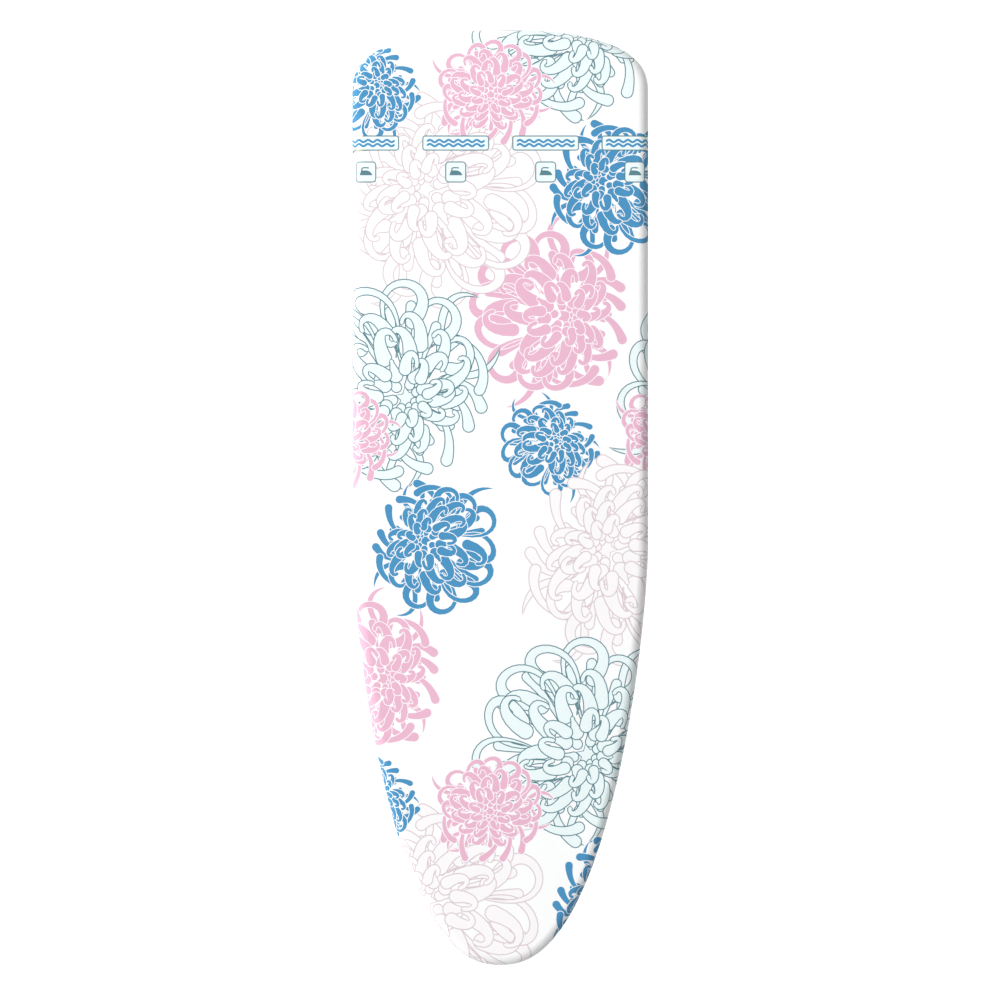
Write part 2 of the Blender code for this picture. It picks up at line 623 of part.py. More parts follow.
def build_lever():
    """Lever, grip, pin, lock plate and return spring, which turn together on the pin."""
    axis = make_axis("lever_axis", (0, axle_y() + LEVER_PIN_AHEAD, HINGE_HEIGHT))
    pin_half = LEVER_ARM_X + LEVER_ARM_THICKNESS + LEVER_PIN_OVERHANG
    bar("lever_pin", (-pin_half, 0, 0), (pin_half, 0, 0), LEVER_PIN_RADIUS, "zinc", axis, 12)
    grip = (LEVER_REACH * math.cos(LEVER_DROOP), -LEVER_REACH * math.sin(LEVER_DROOP))
    arm_outline = link_outline((0, 0), LEVER_EYE_RADIUS, grip, LEVER_END_RADIUS)
    outer = LEVER_ARM_X + LEVER_ARM_THICKNESS
    lever = slab_x("release_lever", arm_outline, -outer, -LEVER_ARM_X, "blue_plastic", axis)
    other_arm = slab_x("lever_other_arm", arm_outline, LEVER_ARM_X, outer, None, axis)
    cross = bar("lever_cross_bar", (-GRIP_HALF, *grip), (GRIP_HALF, *grip), GRIP_BAR_RADIUS,
                None, axis)
    boolean(lever, cross, "UNION")
    boolean(lever, other_arm, "UNION")
    drill(lever, (-0.05, 0, 0), (0.05, 0, 0), LEVER_PIN_BORE, axis, 12)
    grip_inner = LEVER_ARM_X - GAP
    pipe("lever_grip", (-grip_inner, *grip), (grip_inner, *grip), GRIP_RADIUS,
         GRIP_BAR_RADIUS + GAP, "rubber", axis)
    build_lock_plate(axis)
    build_spring(axis, outer)


def build_lock_plate(axis):
    tilt = make_axis("lock_plate_tilt", (0, 0, 0), PLATE_TILT)
    tilt.parent = axis
    top, bottom = HINGE_DEPTH - PLATE_TOP, HINGE_DEPTH - PLATE_BOTTOM
    plate = box("lock_plate", (-PLATE_HALF_WIDTH, -PLATE_THICKNESS / 2, bottom),
                (PLATE_HALF_WIDTH, PLATE_THICKNESS / 2, top), "zinc", tilt)
    eye_half = PLATE_HALF_WIDTH - 0.0005
    eye = bar("lock_plate_eye", (-eye_half, 0, 0), (eye_half, 0, 0), PLATE_EYE_RADIUS, None, tilt)
    boolean(plate, eye, "UNION")
    rod_z = HINGE_DEPTH - GUIDE_DEPTH
    drill(plate, (0, -0.01, rod_z), (0, 0.01, rod_z), PLATE_BORE, tilt)
    drill(plate, (-0.02, 0, 0), (0.02, 0, 0), LEVER_PIN_BORE, tilt, 12)


def build_spring(axis, start_x):
    """A torsion spring round the pin's end, outside the right arm."""
    per_turn = 10
    points = []
    pitch = 2 * SPRING_WIRE + 0.0002
    for i in range(SPRING_TURNS * per_turn + 1):
        a = 2 * math.pi * i / per_turn
        x = start_x + SPRING_WIRE + GAP + pitch * i / per_turn
        points.append(Vector((x, SPRING_RADIUS * math.cos(a), SPRING_RADIUS * math.sin(a))))
    rings = []
    for i, point in enumerate(points):
        along = points[min(i + 1, len(points) - 1)] - points[max(i - 1, 0)]
        rings.append(circle(point, along, SPRING_WIRE, 6))
    add_object("lever_spring", skin(rings), "zinc", axis)


# ---------------------------------------------------------------- transport hook

def build_hook():
    """A swinging hook under the wide end, stowed level; it swings down to catch the folded legs."""
    z = TOP_HEIGHT - HOOK_DEPTH
    top = TOP_HEIGHT - UNDER_BRACE
    ear, sheet = HOOK_HALF_THICKNESS + HOOK_SIDE_ROOM, HOOK_BRACKET_SHEET
    wide, low = ear + sheet, z - HOOK_BRACKET_BELOW
    channel = [(-wide, top), (-wide, low), (-ear, low), (-ear, top - sheet),
               (ear, top - sheet), (ear, low), (wide, low), (wide, top)]
    bracket = slab_y("hook_bracket", channel, HOOK_Y - HOOK_BRACKET_HALF, HOOK_Y + HOOK_BRACKET_HALF,
                     "white_paint")
    drill(bracket, (-0.02, HOOK_Y, z), (0.02, HOOK_Y, z), HOOK_PIN_RADIUS + GAP, None, 12)
    pin_half = wide + HOOK_PIN_OVERHANG
    bar("hook_pin", (-pin_half, HOOK_Y, z), (pin_half, HOOK_Y, z), HOOK_PIN_RADIUS, "zinc", sides=12)
    axis = make_axis("hook_axis", (0, HOOK_Y, z))
    half = HOOK_HALF_THICKNESS
    shank = link_outline((0, 0), HOOK_EYE_RADIUS, (0.050, 0.003), HOOK_SHANK_RADIUS)
    hook = slab_x("transport_hook", shank, -half, half, "blue_plastic", axis)
    claw = slab_x("hook_claw", claw_outline(), -half, half, None, axis)
    boolean(hook, claw, "UNION")
    drill(hook, (-0.02, 0, 0), (0.02, 0, 0), HOOK_PIN_RADIUS + GAP, axis, 12)


def claw_outline():
    """A ring's arc that is open underneath, where the leg's cross tube enters."""
    steps, start, sweep = 10, math.radians(205), math.radians(-225)
    outer, inner = HOOK_MOUTH + HOOK_WALL, HOOK_MOUTH
    angles = [start + sweep * i / steps for i in range(steps + 1)]
    points = [(HOOK_REACH + outer * math.cos(a), outer * math.sin(a)) for a in angles]
    points += [(HOOK_REACH + inner * math.cos(a), inner * math.sin(a)) for a in reversed(angles)]
    return points


def main():
    clear_scene()
    for name in COLOURS:
        make_material(name)
    build_soft_layers()
    build_cover()
    build_rim()
    build_deck()
    build_braces()
    build_hinge_mount()
    build_guide()
    build_outer_leg()
    build_inner_leg()
    build_carriage()
    build_lever()
    build_hook()


main()
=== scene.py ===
"""Looks of a full-size ironing board with a flower-printed cotton cover, built round its CAD frame.

Metres, +Z up. The board lies along Y with its nose at -Y; the origin is on the floor below the
board's middle. Every CAD node is replaced by a finer piece that rides the same body.
"""

import math
import random

import bmesh
import bpy
import numpy as np
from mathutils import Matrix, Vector
from mathutils.geometry import delaunay_2d_cdt
from mathutils.kdtree import KDTree


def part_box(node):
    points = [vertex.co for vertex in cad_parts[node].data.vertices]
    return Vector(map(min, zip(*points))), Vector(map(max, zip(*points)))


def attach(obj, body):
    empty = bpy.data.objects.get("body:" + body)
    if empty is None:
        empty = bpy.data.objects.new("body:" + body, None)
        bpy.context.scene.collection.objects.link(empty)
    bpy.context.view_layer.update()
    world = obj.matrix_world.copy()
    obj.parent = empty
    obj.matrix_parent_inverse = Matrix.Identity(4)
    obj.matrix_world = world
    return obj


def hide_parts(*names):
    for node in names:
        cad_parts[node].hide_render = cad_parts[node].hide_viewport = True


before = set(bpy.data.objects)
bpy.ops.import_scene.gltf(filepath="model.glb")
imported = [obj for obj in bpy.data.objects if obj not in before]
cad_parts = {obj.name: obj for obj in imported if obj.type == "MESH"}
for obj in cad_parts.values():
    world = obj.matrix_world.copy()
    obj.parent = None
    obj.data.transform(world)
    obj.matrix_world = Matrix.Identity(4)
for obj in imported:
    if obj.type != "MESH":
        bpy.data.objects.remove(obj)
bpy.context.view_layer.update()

# The board, read from the frame where it can be
COVER_LOW, COVER_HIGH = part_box("cotton_cover")
HALF_WIDTH = COVER_HIGH.x
HALF_LENGTH = COVER_HIGH.y
TOP = COVER_HIGH.z
HEM_BOTTOM = COVER_LOW.z
NOSE_LENGTH = 0.540          # the part that narrows
NOSE_POWERS = (1.5, 2.34)    # of the nose's outline, along and across
WIDE_END_DEPTH = 0.080
WIDE_END_POWER = 2.5

# The cloth, from the flat top round the padded edge to the hem
SHOULDER = 0.014             # radius of the padded edge
UNDER_TURN = 0.008           # radius of the turn below the rim tube
HEM_INSET = 0.030            # where the hem ends, inside the outline
COVER_ROOM = 0.0012          # between the cover's face and the padding's edge
PRINT_END = 0.006            # the print stops this far from the hem's end
CONTOUR_POINTS = 3600        # round the board, before they are thinned out
EDGE_POINTS = 420            # round the deck, the foam and the felt
HEM_POINTS = 1500
CLOTH_PITCH, PAD_PITCH = 0.014, 0.016   # of the points on top of the cloth and of the padding

THREAD = 0.00042             # thread spacing of the weave
TUNNEL_HALF = (0.0058, 0.0021)   # the hem's sewn tunnel: half its width, and its height over the cord
TUNNEL_SHIFT = 0.0022        # its middle is this far outside the cord
TUNNEL_GAP = 14              # hem points either side of the opening at the wide end

# The deck's expanded metal
DECK_BORDER = 0.014
MESH_PITCH = (0.0125, 0.026)
STRAND = 0.0022
STRAND_TWIST = 0.0002

# Turned and welded parts
SIDES = 40                   # round a turned part
CRISP = 40                   # degrees; edges sharper than this stay sharp
TUBE_WALL = 0.0012
TUBE_LIP = 0.0005            # rounding of a tube's cut end
ROD_BORE = 0.0053            # what the 10 mm rods run in
SLEEVE_BORE = 0.0056         # what the hinge rod runs in
BOLT_BORE = 0.0046           # what the pivot bolts run in
DRILL_LENGTH = 0.04          # more than a leg tube's width
WELD, BRACE_WELD = 0.0015, 0.0013   # radius of a bead on the legs, and on the braces
IN_WELD = 0.003              # how far a cross tube reaches into the legs' bores
POCKET_DEPTH = 0.0012        # of the carriage's pockets

# The studio
CAMERA_OVER = (-0.0004, -0.0032)
CAMERA_HEIGHT = 3.0          # over the board
VIEW_WIDTH = 1.278           # seen at the board's top
KEY_AT = (-4.5, 1.6, TOP + 4.5)
KEY_SIZE, KEY_WATTS = 3.4, 520
WORLD_STRENGTH = 0.38
FLOOR_GLOW = 0.88

# The print: line widths, and where each flower is
LINE = 0.00135
HALO = 0.00095
WHITE, BLUE, PINK, TEAL_LINE, PALE_LINE, TEAL_TINT, PALE_TINT = range(7)
COTTON = {
    WHITE: ("cotton_white", (0.925, 0.93, 0.935)),
    BLUE: ("print_blue", (0.062, 0.273, 0.503)),
    PINK: ("print_pink", (0.772, 0.449, 0.583)),
    TEAL_LINE: ("print_teal_line", (0.095, 0.215, 0.255)),
    PALE_LINE: ("print_pale_line", (0.66, 0.555, 0.60)),
    TEAL_TINT: ("print_teal_tint", (0.80, 0.895, 0.90)),
    PALE_TINT: ("print_pale_tint", (0.905, 0.885, 0.892)),
}
# (x, y, radius, the side its longest petals point to in degrees, motif, style), in printing order
FLOWERS = (
    (0.085, 0.231, 0.093, 170, 0, "pink"),
    (-0.0975, 0.3955, 0.1163, 325, 0, "pale"),
    (0.112, 0.596, 0.1125, 135, 0, "teal"),
    (-0.156, 0.528, 0.0545, 215, 0, "blue"),
    (-0.012, 0.514, 0.0577, 90, 1, "pink"),
    (0.1287, 0.4057, 0.0735, 330, 0, "blue"),
    (-0.119, 0.126, 0.1135, 135, 0, "teal"),
    (-0.205, 0.073, 0.0558, 90, 1, "pink"),
    (0.297, 0.125, 0.1125, 135, 0, "teal"),
    (0.220, 0.080, 0.0558, 90, 1, "pink"),
    (0.073, 0.073, 0.0545, 215, 0, "blue"),
    (0.134, -0.065, 0.1135, 325, 0, "pale"),
    (-0.098, -0.054, 0.0735, 330, 0, "blue"),
    (-0.147, -0.232, 0.084, 170, 0, "pink"),
    (-0.096, -0.514, 0.1163, 325, 0, "pale"),
    (0.112, -0.330, 0.1125, 135, 0, "teal"),
    (-0.013, -0.402, 0.0577, 90, 1, "pink"),
    (-0.155, -0.382, 0.0525, 215, 0, "blue"),
    (0.1325, -0.511, 0.0735, 330, 0, "blue"),
)
MOTIFS = ((3, 0.30, 135, 9), (8, 0.14, 90, 9))   # seed, lean, the side of long petals, petals there
MID_FLOWER = 0.085           # radius of a flower drawn with the usual number of points
# The printed row of plain badges: a framed bar with waves over a square with an iron
BADGE_X = (-0.172, -0.057, 0.058, 0.172)
BAR_Y, BAR_HALF = 0.453, (0.042, 0.009)
SQUARE_Y, SQUARE_HALF = 0.416, (0.0128, 0.0128)
BADGE_LINE = 0.0014
STYLES = {
    "blue": (HALO, WHITE, BLUE),
    "pink": (HALO, WHITE, PINK),
    "teal": (LINE, TEAL_LINE, TEAL_TINT),
    "pale": (LINE, PALE_LINE, PALE_TINT),
}

# ---------------------------------------------------------------- materials

class Material:
    """A Principled material with procedural textures linked to it."""

    def __init__(self, name, colour, rough, metal=0.0, **sockets):
        self.made = bpy.data.materials.new(name)
        self.made.use_nodes = True
        self.tree = self.made.node_tree
        self.inputs = self.tree.nodes["Principled BSDF"].inputs
        self.colour = colour
        sockets |= {"Base_Color": (*colour, 1), "Roughness": rough, "Metallic": metal}
        for socket, value in sockets.items():
            self.inputs[socket.replace("_", " ")].default_value = value

    def node(self, kind, links=(), **values):
        """A node with its inputs, or failing those its properties, set by name, and its links."""
        node = self.tree.nodes.new(kind)
        for key, value in values.items():
            if key in node.inputs:
                node.inputs[key].default_value = value
            else:
                setattr(node, key, value)
        for key, output in dict(links).items():
            self.tree.links.new(output, node.inputs[key])
        return node

    def texture(self, kind, output, stretch=(1, 1, 1), **values):
        """A texture fixed to the piece's own coordinates."""
        place = self.node("ShaderNodeTexCoord").outputs["Object"]
        scaled = self.node("ShaderNodeMapping", {"Vector": place}, Scale=stretch).outputs["Vector"]
        return self.node(kind, {"Vector": scaled}, **values).outputs[output]

    def grain(self, scale, stretch=(1, 1, 1), detail=4):
        return self.texture("ShaderNodeTexNoise", "Fac", stretch, Scale=scale, Detail=detail)

    def cells(self, scale):
        return self.texture("ShaderNodeTexVoronoi", "Distance", Scale=scale)

    def math(self, operation, *terms):
        node = self.node("ShaderNodeMath", operation=operation)
        for socket, term in zip(node.inputs, terms):
            if isinstance(term, float):
                socket.default_value = term
            else:
                self.tree.links.new(term, socket)
        return node.outputs[0]

    def bump(self, height, distance, strength):
        node = self.node("ShaderNodeBump", {"Height": height}, Distance=distance, Strength=strength)
        self.tree.links.new(node.outputs["Normal"], self.inputs["Normal"])

    def vary_roughness(self, factor, low, high):
        spread = self.node("ShaderNodeMapRange", {"Value": factor})
        spread.inputs["To Min"].default_value = low
        spread.inputs["To Max"].default_value = high
        self.tree.links.new(spread.outputs["Result"], self.inputs["Roughness"])

    def vary_colour(self, factor, dark, light=1.0):
        """Spreads the colour between two multiples of itself."""
        ramp = self.node("ShaderNodeValToRGB", {"Fac": factor})
        for stop, (at, times) in enumerate(((0.3, dark), (0.7, light))):
            ramp.color_ramp.elements[stop].position = at
            ramp.color_ramp.elements[stop].color = (*[min(c * times, 1) for c in self.colour], 1)
        self.tree.links.new(ramp.outputs["Color"], self.inputs["Base Color"])


def cotton(name, colour, mapped=True):
    """Plain-woven cotton: threads across each other, laid out on the cloth's own flat map."""
    m = Material(name, colour, 0.85, Sheen_Weight=0.15, Sheen_Roughness=0.5, Specular_IOR_Level=0.25)
    if mapped:
        place = m.node("ShaderNodeUVMap", uv_map="cloth").outputs["UV"]
    else:
        place = m.node("ShaderNodeTexCoord").outputs["Object"]
    split = m.node("ShaderNodeSeparateXYZ", {"Vector": place})
    waves = [m.math("SINE", m.math("MULTIPLY", split.outputs[axis], math.pi / THREAD))
             for axis in ("X", "Y")]
    slubs = m.math("MULTIPLY", m.grain(420, detail=3), 1.2)
    m.bump(m.math("ADD", m.math("MULTIPLY", *waves), slubs), 0.00012, 0.5)
    m.vary_roughness(m.grain(160), 0.78, 0.92)
    return m.made


def powder_coat(name, colour):
    m = Material(name, colour, 0.38, Coat_Weight=0.25, Coat_Roughness=0.2)
    m.bump(m.grain(520, detail=2), 0.00008, 0.6)
    m.vary_roughness(m.grain(60), 0.30, 0.46)
    m.vary_colour(m.grain(14), 0.965)
    return m.made


def zinc_plate(name, colour, lengthways=(1, 1, 1)):
    """Bright zinc plating with fine drawing lines and cloudy patches."""
    m = Material(name, colour, 0.3, 1.0)
    m.bump(m.math("ADD", m.cells(260), m.grain(1500, lengthways)), 0.00003, 0.5)
    m.vary_roughness(m.grain(180, lengthways, 6), 0.20, 0.42)
    m.vary_colour(m.grain(35), 0.86)
    return m.made


def moulded_plastic(name, colour, rough):
    """Injection-moulded plastic with a fine spark-eroded grain."""
    m = Material(name, colour, rough, Specular_IOR_Level=0.45)
    m.bump(m.grain(2600, detail=3), 0.00006, 0.55)
    m.vary_roughness(m.grain(90), rough - 0.06, rough + 0.08)
    m.vary_colour(m.grain(22), 0.93, 1.05)
    return m.made


def soft_rubber(name, colour):
    m = Material(name, colour, 0.75, Specular_IOR_Level=0.35, Sheen_Weight=0.1)
    m.bump(m.grain(1800, detail=5), 0.0001, 0.6)
    m.vary_roughness(m.grain(70), 0.64, 0.84)
    m.vary_colour(m.grain(30), 0.8, 1.25)
    return m.made


def needled_felt(name, colour):
    """Matted fibres with light and dark flecks."""
    m = Material(name, colour, 0.98, Sheen_Weight=0.5, Sheen_Roughness=0.6)
    fibres = m.math("MAXIMUM", m.grain(900, (1, 0.12, 1), 5), m.grain(900, (0.12, 1, 1), 5))
    m.bump(fibres, 0.0005, 0.9)
    m.vary_roughness(m.grain(120), 0.9, 1.0)
    m.vary_colour(fibres, 0.62, 1.35)
    return m.made


def cellular(name, colour, rough, cells, relief, uneven, dark):
    """Open-cell foam or woven elastic: small cells in relief, with painted shade darkening their hollows."""
    m = Material(name, colour, rough, Sheen_Weight=0.3)
    hollows = m.cells(cells)
    m.bump(hollows, *relief)
    m.vary_roughness(m.grain(uneven[0]), *uneven[1:])
    # painted shade: the colour drops to `dark` times itself in the cells' hollows
    m.vary_colour(hollows, dark)
    return m.made


# ---------------------------------------------------------------- making meshes

def add_mesh(name, points, faces, material, sharp=None):
    """A smooth-shaded object; edges sharper than `sharp` degrees stay crisp."""
    mesh = bpy.data.meshes.new(name)
    mesh.from_pydata([tuple(p) for p in points], [], [tuple(f) for f in faces])
    mesh.materials.append(material)
    mesh.polygons.foreach_set("use_smooth", np.ones(len(mesh.polygons), bool))
    if sharp:
        mesh.set_sharp_from_angle(angle=math.radians(sharp))
    obj = bpy.data.objects.new(name, mesh)
    bpy.context.scene.collection.objects.link(obj)
    return obj


def ring_faces(rings, sides, closed, first):
    """Quads between rings of points, counted from `first`; open ends get a flat face."""
    faces = []
    for i in range(rings if closed else rings - 1):
        a, b = first + i * sides, first + (i + 1) % rings * sides
        faces += [(a + j, a + (j + 1) % sides, b + (j + 1) % sides, b + j) for j in range(sides)]
    if not closed:
        faces.append(range(first + sides - 1, first - 1, -1))
        faces.append(range(first + (rings - 1) * sides, first + rings * sides))
    return faces


class Shape:
    """Collects rings of points into one mesh."""

    def __init__(self):
        self.points, self.faces = [], []

    def add(self, rings, closed=False):
        """Skins rings of points: a closed loop of them, or a row with flat ends."""
        self.faces += ring_faces(len(rings), len(rings[0]), closed, len(self.points))
        self.points += [p for ring in rings for p in ring]
        return self

    def make(self, name, material, sharp=None):
        return add_mesh(name, self.points, self.faces, material, sharp)

    def fit(self, name, body, slot, *nodes, finish=None, sharp=CRISP):
        """Makes the piece and fixes it to its body."""
        return place(self.make(name, FINISH[finish or slot], sharp), body, slot, *nodes)


def round_angles(count):
    return np.linspace(0, 2 * math.pi, count, endpoint=False)


def cross_axes(along):
    along = Vector(along).normalized()
    side = along.orthogonal().normalized()
    return np.array(along), np.array(side), np.array(along.cross(side))


def turned(start, along, profile, sides=SIDES, hexagon=False):
    """Rings of a turned part: (distance, radius) pairs from `start`. A hexagon's flats cut off
    everything outside six sides that meet at the largest radius."""
    along, side, up = cross_axes(along)
    angles = round_angles(sides)
    flat = np.full(sides, np.inf)
    if hexagon:
        corner = max(radius for _, radius in profile)
        flat = corner * math.sqrt(0.75) / np.cos((angles + math.pi / 6) % (math.pi / 3) - math.pi / 6)
    rings = []
    for distance, radius in profile:
        reach = np.minimum(radius, flat)[:, None]
        rings.append(np.array(start) + along * distance
                     + reach * (np.cos(angles)[:, None] * side + np.sin(angles)[:, None] * up))
    return rings


def turned_shape(start, along, profile, closed=False, **shape):
    return Shape().add(turned(start, along, profile, **shape), closed)


def swept(path, radius, sides, closed, up=(0, 0, 1)):
    """Rings round a path. The radius may change along it."""
    path = np.array(path)
    if closed:
        ahead = np.roll(path, -1, 0) - np.roll(path, 1, 0)
    else:
        ahead = np.gradient(path, axis=0)
    ahead /= np.linalg.norm(ahead, axis=1)[:, None]
    side = np.cross(ahead, np.array(up, float))
    side /= np.linalg.norm(side, axis=1)[:, None]
    top = np.cross(side, ahead)
    angles = round_angles(sides)
    radius = np.broadcast_to(radius, len(path))
    return [p + r * (np.cos(angles)[:, None] * s - np.sin(angles)[:, None] * t)
            for p, r, s, t in zip(path, radius, side, top)]


def place(obj, body, slot, *nodes):
    """Fixes a piece to a CAD body in place of some CAD nodes. Its slot argument is not used."""
    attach(obj, body)
    if nodes:
        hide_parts(*nodes)
    return obj


def centre(node):
    low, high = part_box(node)
    return (low + high) / 2


def measure(node, along):
    """A straight CAD part's start, length and radius along a direction."""
    points = np.array([v.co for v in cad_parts[node].data.vertices])
    along = np.array(Vector(along).normalized())
    middle = np.array(centre(node))
    reach = (points - middle) @ along
    radius = np.linalg.norm(points - middle - reach[:, None] * along, axis=1).max()
    return middle + along * reach.min(), reach.max() - reach.min(), radius


def rounded_rod(length, radius, edge):
    """The profile of a solid rod with rounded rims."""
    turn = [(edge * (1 - math.sin(a)), radius - edge * (1 - math.cos(a)))
            for a in (math.pi / 2, math.pi / 3, math.pi / 6, 0)]
    half = [(0.0, 0.15 * radius), *turn]
    return half + [(length - d, r) for d, r in reversed(half)]


def rounded_pipe(length, radius, bore, edge):
    """The closed profile of a pipe with rounded lips."""
    outer = [(edge, radius), (length - edge, radius), (length - 0.3 * edge, radius - 0.3 * edge),
             (length, radius - edge)]
    inner = [(length, bore + 0.3 * edge), (length - 0.5 * edge, bore), (0.5 * edge, bore),
             (0, bore + 0.3 * edge)]
    return outer + inner + [(0, radius - edge), (0.3 * edge, radius - 0.3 * edge)]


def cut(obj, tool):
    """Cuts a mesh out of another. The tool is then removed."""
    modifier = obj.modifiers.new("cut", "BOOLEAN")
    modifier.operation, modifier.solver, modifier.object = "DIFFERENCE", "EXACT", tool
    bpy.context.view_layer.update()
    made = bpy.data.meshes.new_from_object(obj.evaluated_get(bpy.context.evaluated_depsgraph_get()))
    obj.modifiers.clear()
    obj.data = made
    bpy.data.objects.remove(tool)
    made.set_sharp_from_angle(angle=math.radians(35))


def drill(obj, at, radius):
    """Drills a hole along X through a tube."""
    start = Vector(at) - Vector((DRILL_LENGTH / 2, 0, 0))
    tool = turned_shape(start, (1, 0, 0), [(0, radius), (DRILL_LENGTH, radius)], sides=32)
    cut(obj, tool.make("drill", obj.data.materials[0]))


def soften(obj, width, segments, angle=32):
    """Rounds a piece's edges."""
    obj.data.set_sharp_from_angle(angle=math.pi)
    bevel = obj.modifiers.new("rounding", "BEVEL")
    bevel.width, bevel.segments, bevel.limit_method = width, segments, "ANGLE"
    bevel.angle_limit = math.radians(angle)
    obj.modifiers.new("normals", "WEIGHTED_NORMAL")
    return obj


# ---------------------------------------------------------------- the outline

def half_outline(steps):
    """Right half of the board's edge, from the nose's tip to the wide end's middle."""
    along, across = NOSE_POWERS
    a = np.linspace(0.0, math.pi / 2, steps)
    nose = np.stack((HALF_WIDTH * np.sin(a) ** (2 / across),
                     NOSE_LENGTH * (1 - np.maximum(np.cos(a), 0) ** (2 / along)) - HALF_LENGTH), 1)
    side_end = HALF_LENGTH - WIDE_END_DEPTH
    wide = np.stack((HALF_WIDTH * np.maximum(np.cos(a), 0) ** (2 / WIDE_END_POWER),
                     side_end + WIDE_END_DEPTH * np.sin(a) ** (2 / WIDE_END_POWER)), 1)
    return np.concatenate((nose, wide))


def evenly(points, count):
    """The same closed line with `count` points at equal distances."""
    closed = np.concatenate((points, points[:1]))
    length = np.concatenate(((0,), np.cumsum(np.linalg.norm(np.diff(closed, axis=0), axis=1))))
    at = np.linspace(0, length[-1], count + 1)[:-1]
    return np.stack([np.interp(at, length, closed[:, k]) for k in (0, 1)], 1)


def smooth_round(values, passes):
    for _ in range(passes):
        values = (np.roll(values, 1, 0) + 2 * values + np.roll(values, -1, 0)) / 4
    return values


def outward(points):
    """Unit normals of a closed line that runs anticlockwise."""
    ahead = np.roll(points, -1, 0) - np.roll(points, 1, 0)
    normal = np.stack((ahead[:, 1], -ahead[:, 0]), 1)
    return normal / np.linalg.norm(normal, axis=1)[:, None]


def board_contour(inset, count=CONTOUR_POINTS):
    """The edge moved inwards, as evenly spaced points running anticlockwise."""
    right = half_outline(400)
    left = right[::-1] * (-1, 1)
    line = evenly(np.concatenate((right, left[1:-1])), CONTOUR_POINTS)
    line = smooth_round(line, 12)
    line = line - outward(line) * inset
    return evenly(line, count)


# ---------------------------------------------------------------- wrapping the cloth

class Wrap:
    """Lays flat cloth on the board: distance past the flat top becomes distance round the edge."""

    def __init__(self):
        self.line = board_contour(SHOULDER)
        self.normal = smooth_round(outward(self.line), 6)
        self.tree = KDTree(len(self.line))
        for i, (x, y) in enumerate(self.line):
            self.tree.insert((x, y, 0), i)
        self.tree.balance()
        side = (TOP - HEM_BOTTOM) - SHOULDER - UNDER_TURN
        self.parts = np.cumsum((SHOULDER * math.pi / 2, side, UNDER_TURN * math.pi / 2,
                                HEM_INSET - UNDER_TURN))
        self.reach = self.parts[-1]

    def local(self, flat):
        """Distance past the flat top (negative on it), foot point, outward direction, and share of
        the way round."""
        nearest = np.array([self.tree.find((x, y, 0))[1] for x, y in flat])
        base, out = self.line[nearest], self.normal[nearest]
        ahead = np.stack((-out[:, 1], out[:, 0]), 1)
        slip = ((flat - base) * ahead).sum(1)
        past = ((flat - base) * out).sum(1)
        turn = self.normal[(nearest + 1) % len(self.line)] - self.normal[nearest - 1]
        step = self.line[(nearest + 1) % len(self.line)] - self.line[nearest - 1]
        rate = (turn * ahead).sum(1) / np.maximum((step * ahead).sum(1), 1e-9)
        direction = out + ahead * (slip * rate / (1 + past * rate))[:, None]
        direction /= np.linalg.norm(direction, axis=1)[:, None]
        foot = flat - direction * past[:, None]
        return past, foot, direction, nearest / len(self.line)

    def profile(self, past):
        """Shift outwards from the foot point, depth, and the normal's outward and upward parts."""
        a1, a2, a3, a4 = self.parts
        p = np.clip(past, 0, a4)
        angle1 = np.clip(p, 0, a1) / SHOULDER
        shift = SHOULDER * np.sin(angle1)
        depth = SHOULDER * (1 - np.cos(angle1)) + np.clip(p - a1, 0, a2 - a1)
        angle2 = np.clip(p - a2, 0, a3 - a2) / UNDER_TURN
        shift = shift - UNDER_TURN * (1 - np.cos(angle2)) - np.clip(p - a3, 0, None)
        depth = depth + UNDER_TURN * np.sin(angle2)
        lean = angle1 + angle2
        return shift, depth, np.sin(lean), np.cos(lean)

    def place(self, flat):
        """World points of flat cloth points."""
        past, foot, direction, share = self.local(flat)
        shift, depth, out, up = self.profile(past)
        normal = np.concatenate((direction * out[:, None], up[:, None]), 1)
        point = np.concatenate((foot + direction * shift[:, None], (TOP - depth)[:, None]), 1)
        on_top = past <= 0
        point[on_top, :2] = flat[on_top]
        normal[on_top] = (0, 0, 1)
        return point + normal * relief(flat, past, share, self.parts[0], self.reach)[:, None]


def cloth_normals(wrap, flat):
    step = 0.0003
    along_x = wrap.place(flat + (step, 0)) - wrap.place(flat - (step, 0))
    along_y = wrap.place(flat + (0, step)) - wrap.place(flat - (0, step))
    normal = np.cross(along_x, along_y)
    return normal / np.maximum(np.linalg.norm(normal, axis=1), 1e-12)[:, None]


def relief(flat, past, share, start, end):
    """Height of the cloth over its smooth shape: padding that isn't quite even, and gathers."""
    x, y = flat[:, 0], flat[:, 1]
    soft = 0.00022 * np.sin(31 * x + 2.1 * np.sin(9 * y)) * np.sin(17 * y + 1.3)
    soft += 0.00012 * np.sin(57 * y + 3 * np.sin(23 * x) + 0.7)
    soft = soft * np.clip(-past / 0.02, 0, 1)
    under = np.clip((past - start) / (end - start), 0, 1)
    under = under * (1 - 0.55 * np.clip((past - end + 0.010) / 0.006, 0, 1))
    turn = 2 * math.pi * share
    folds = np.sin(112 * turn + 2.6 * np.sin(7 * turn)) + 0.6 * np.sin(203 * turn + 1.9 * np.sin(9 * turn))
    ridges = (0.5 + 0.31 * folds) ** 1.6
    return soft + 0.0030 * under * (0.22 + 0.78 * gather(share)) * ridges


def gather(share):
    """How much spare cloth the hem gathers: most round the nose and the wide end's corners."""
    nose = np.exp(-((np.minimum(share, 1 - share)) / 0.11) ** 2)
    corner = np.exp(-((np.abs(share - 0.5) - 0.058) / 0.03) ** 2)
    return np.clip(nose + corner, 0, 1)


# ---------------------------------------------------------------- the print

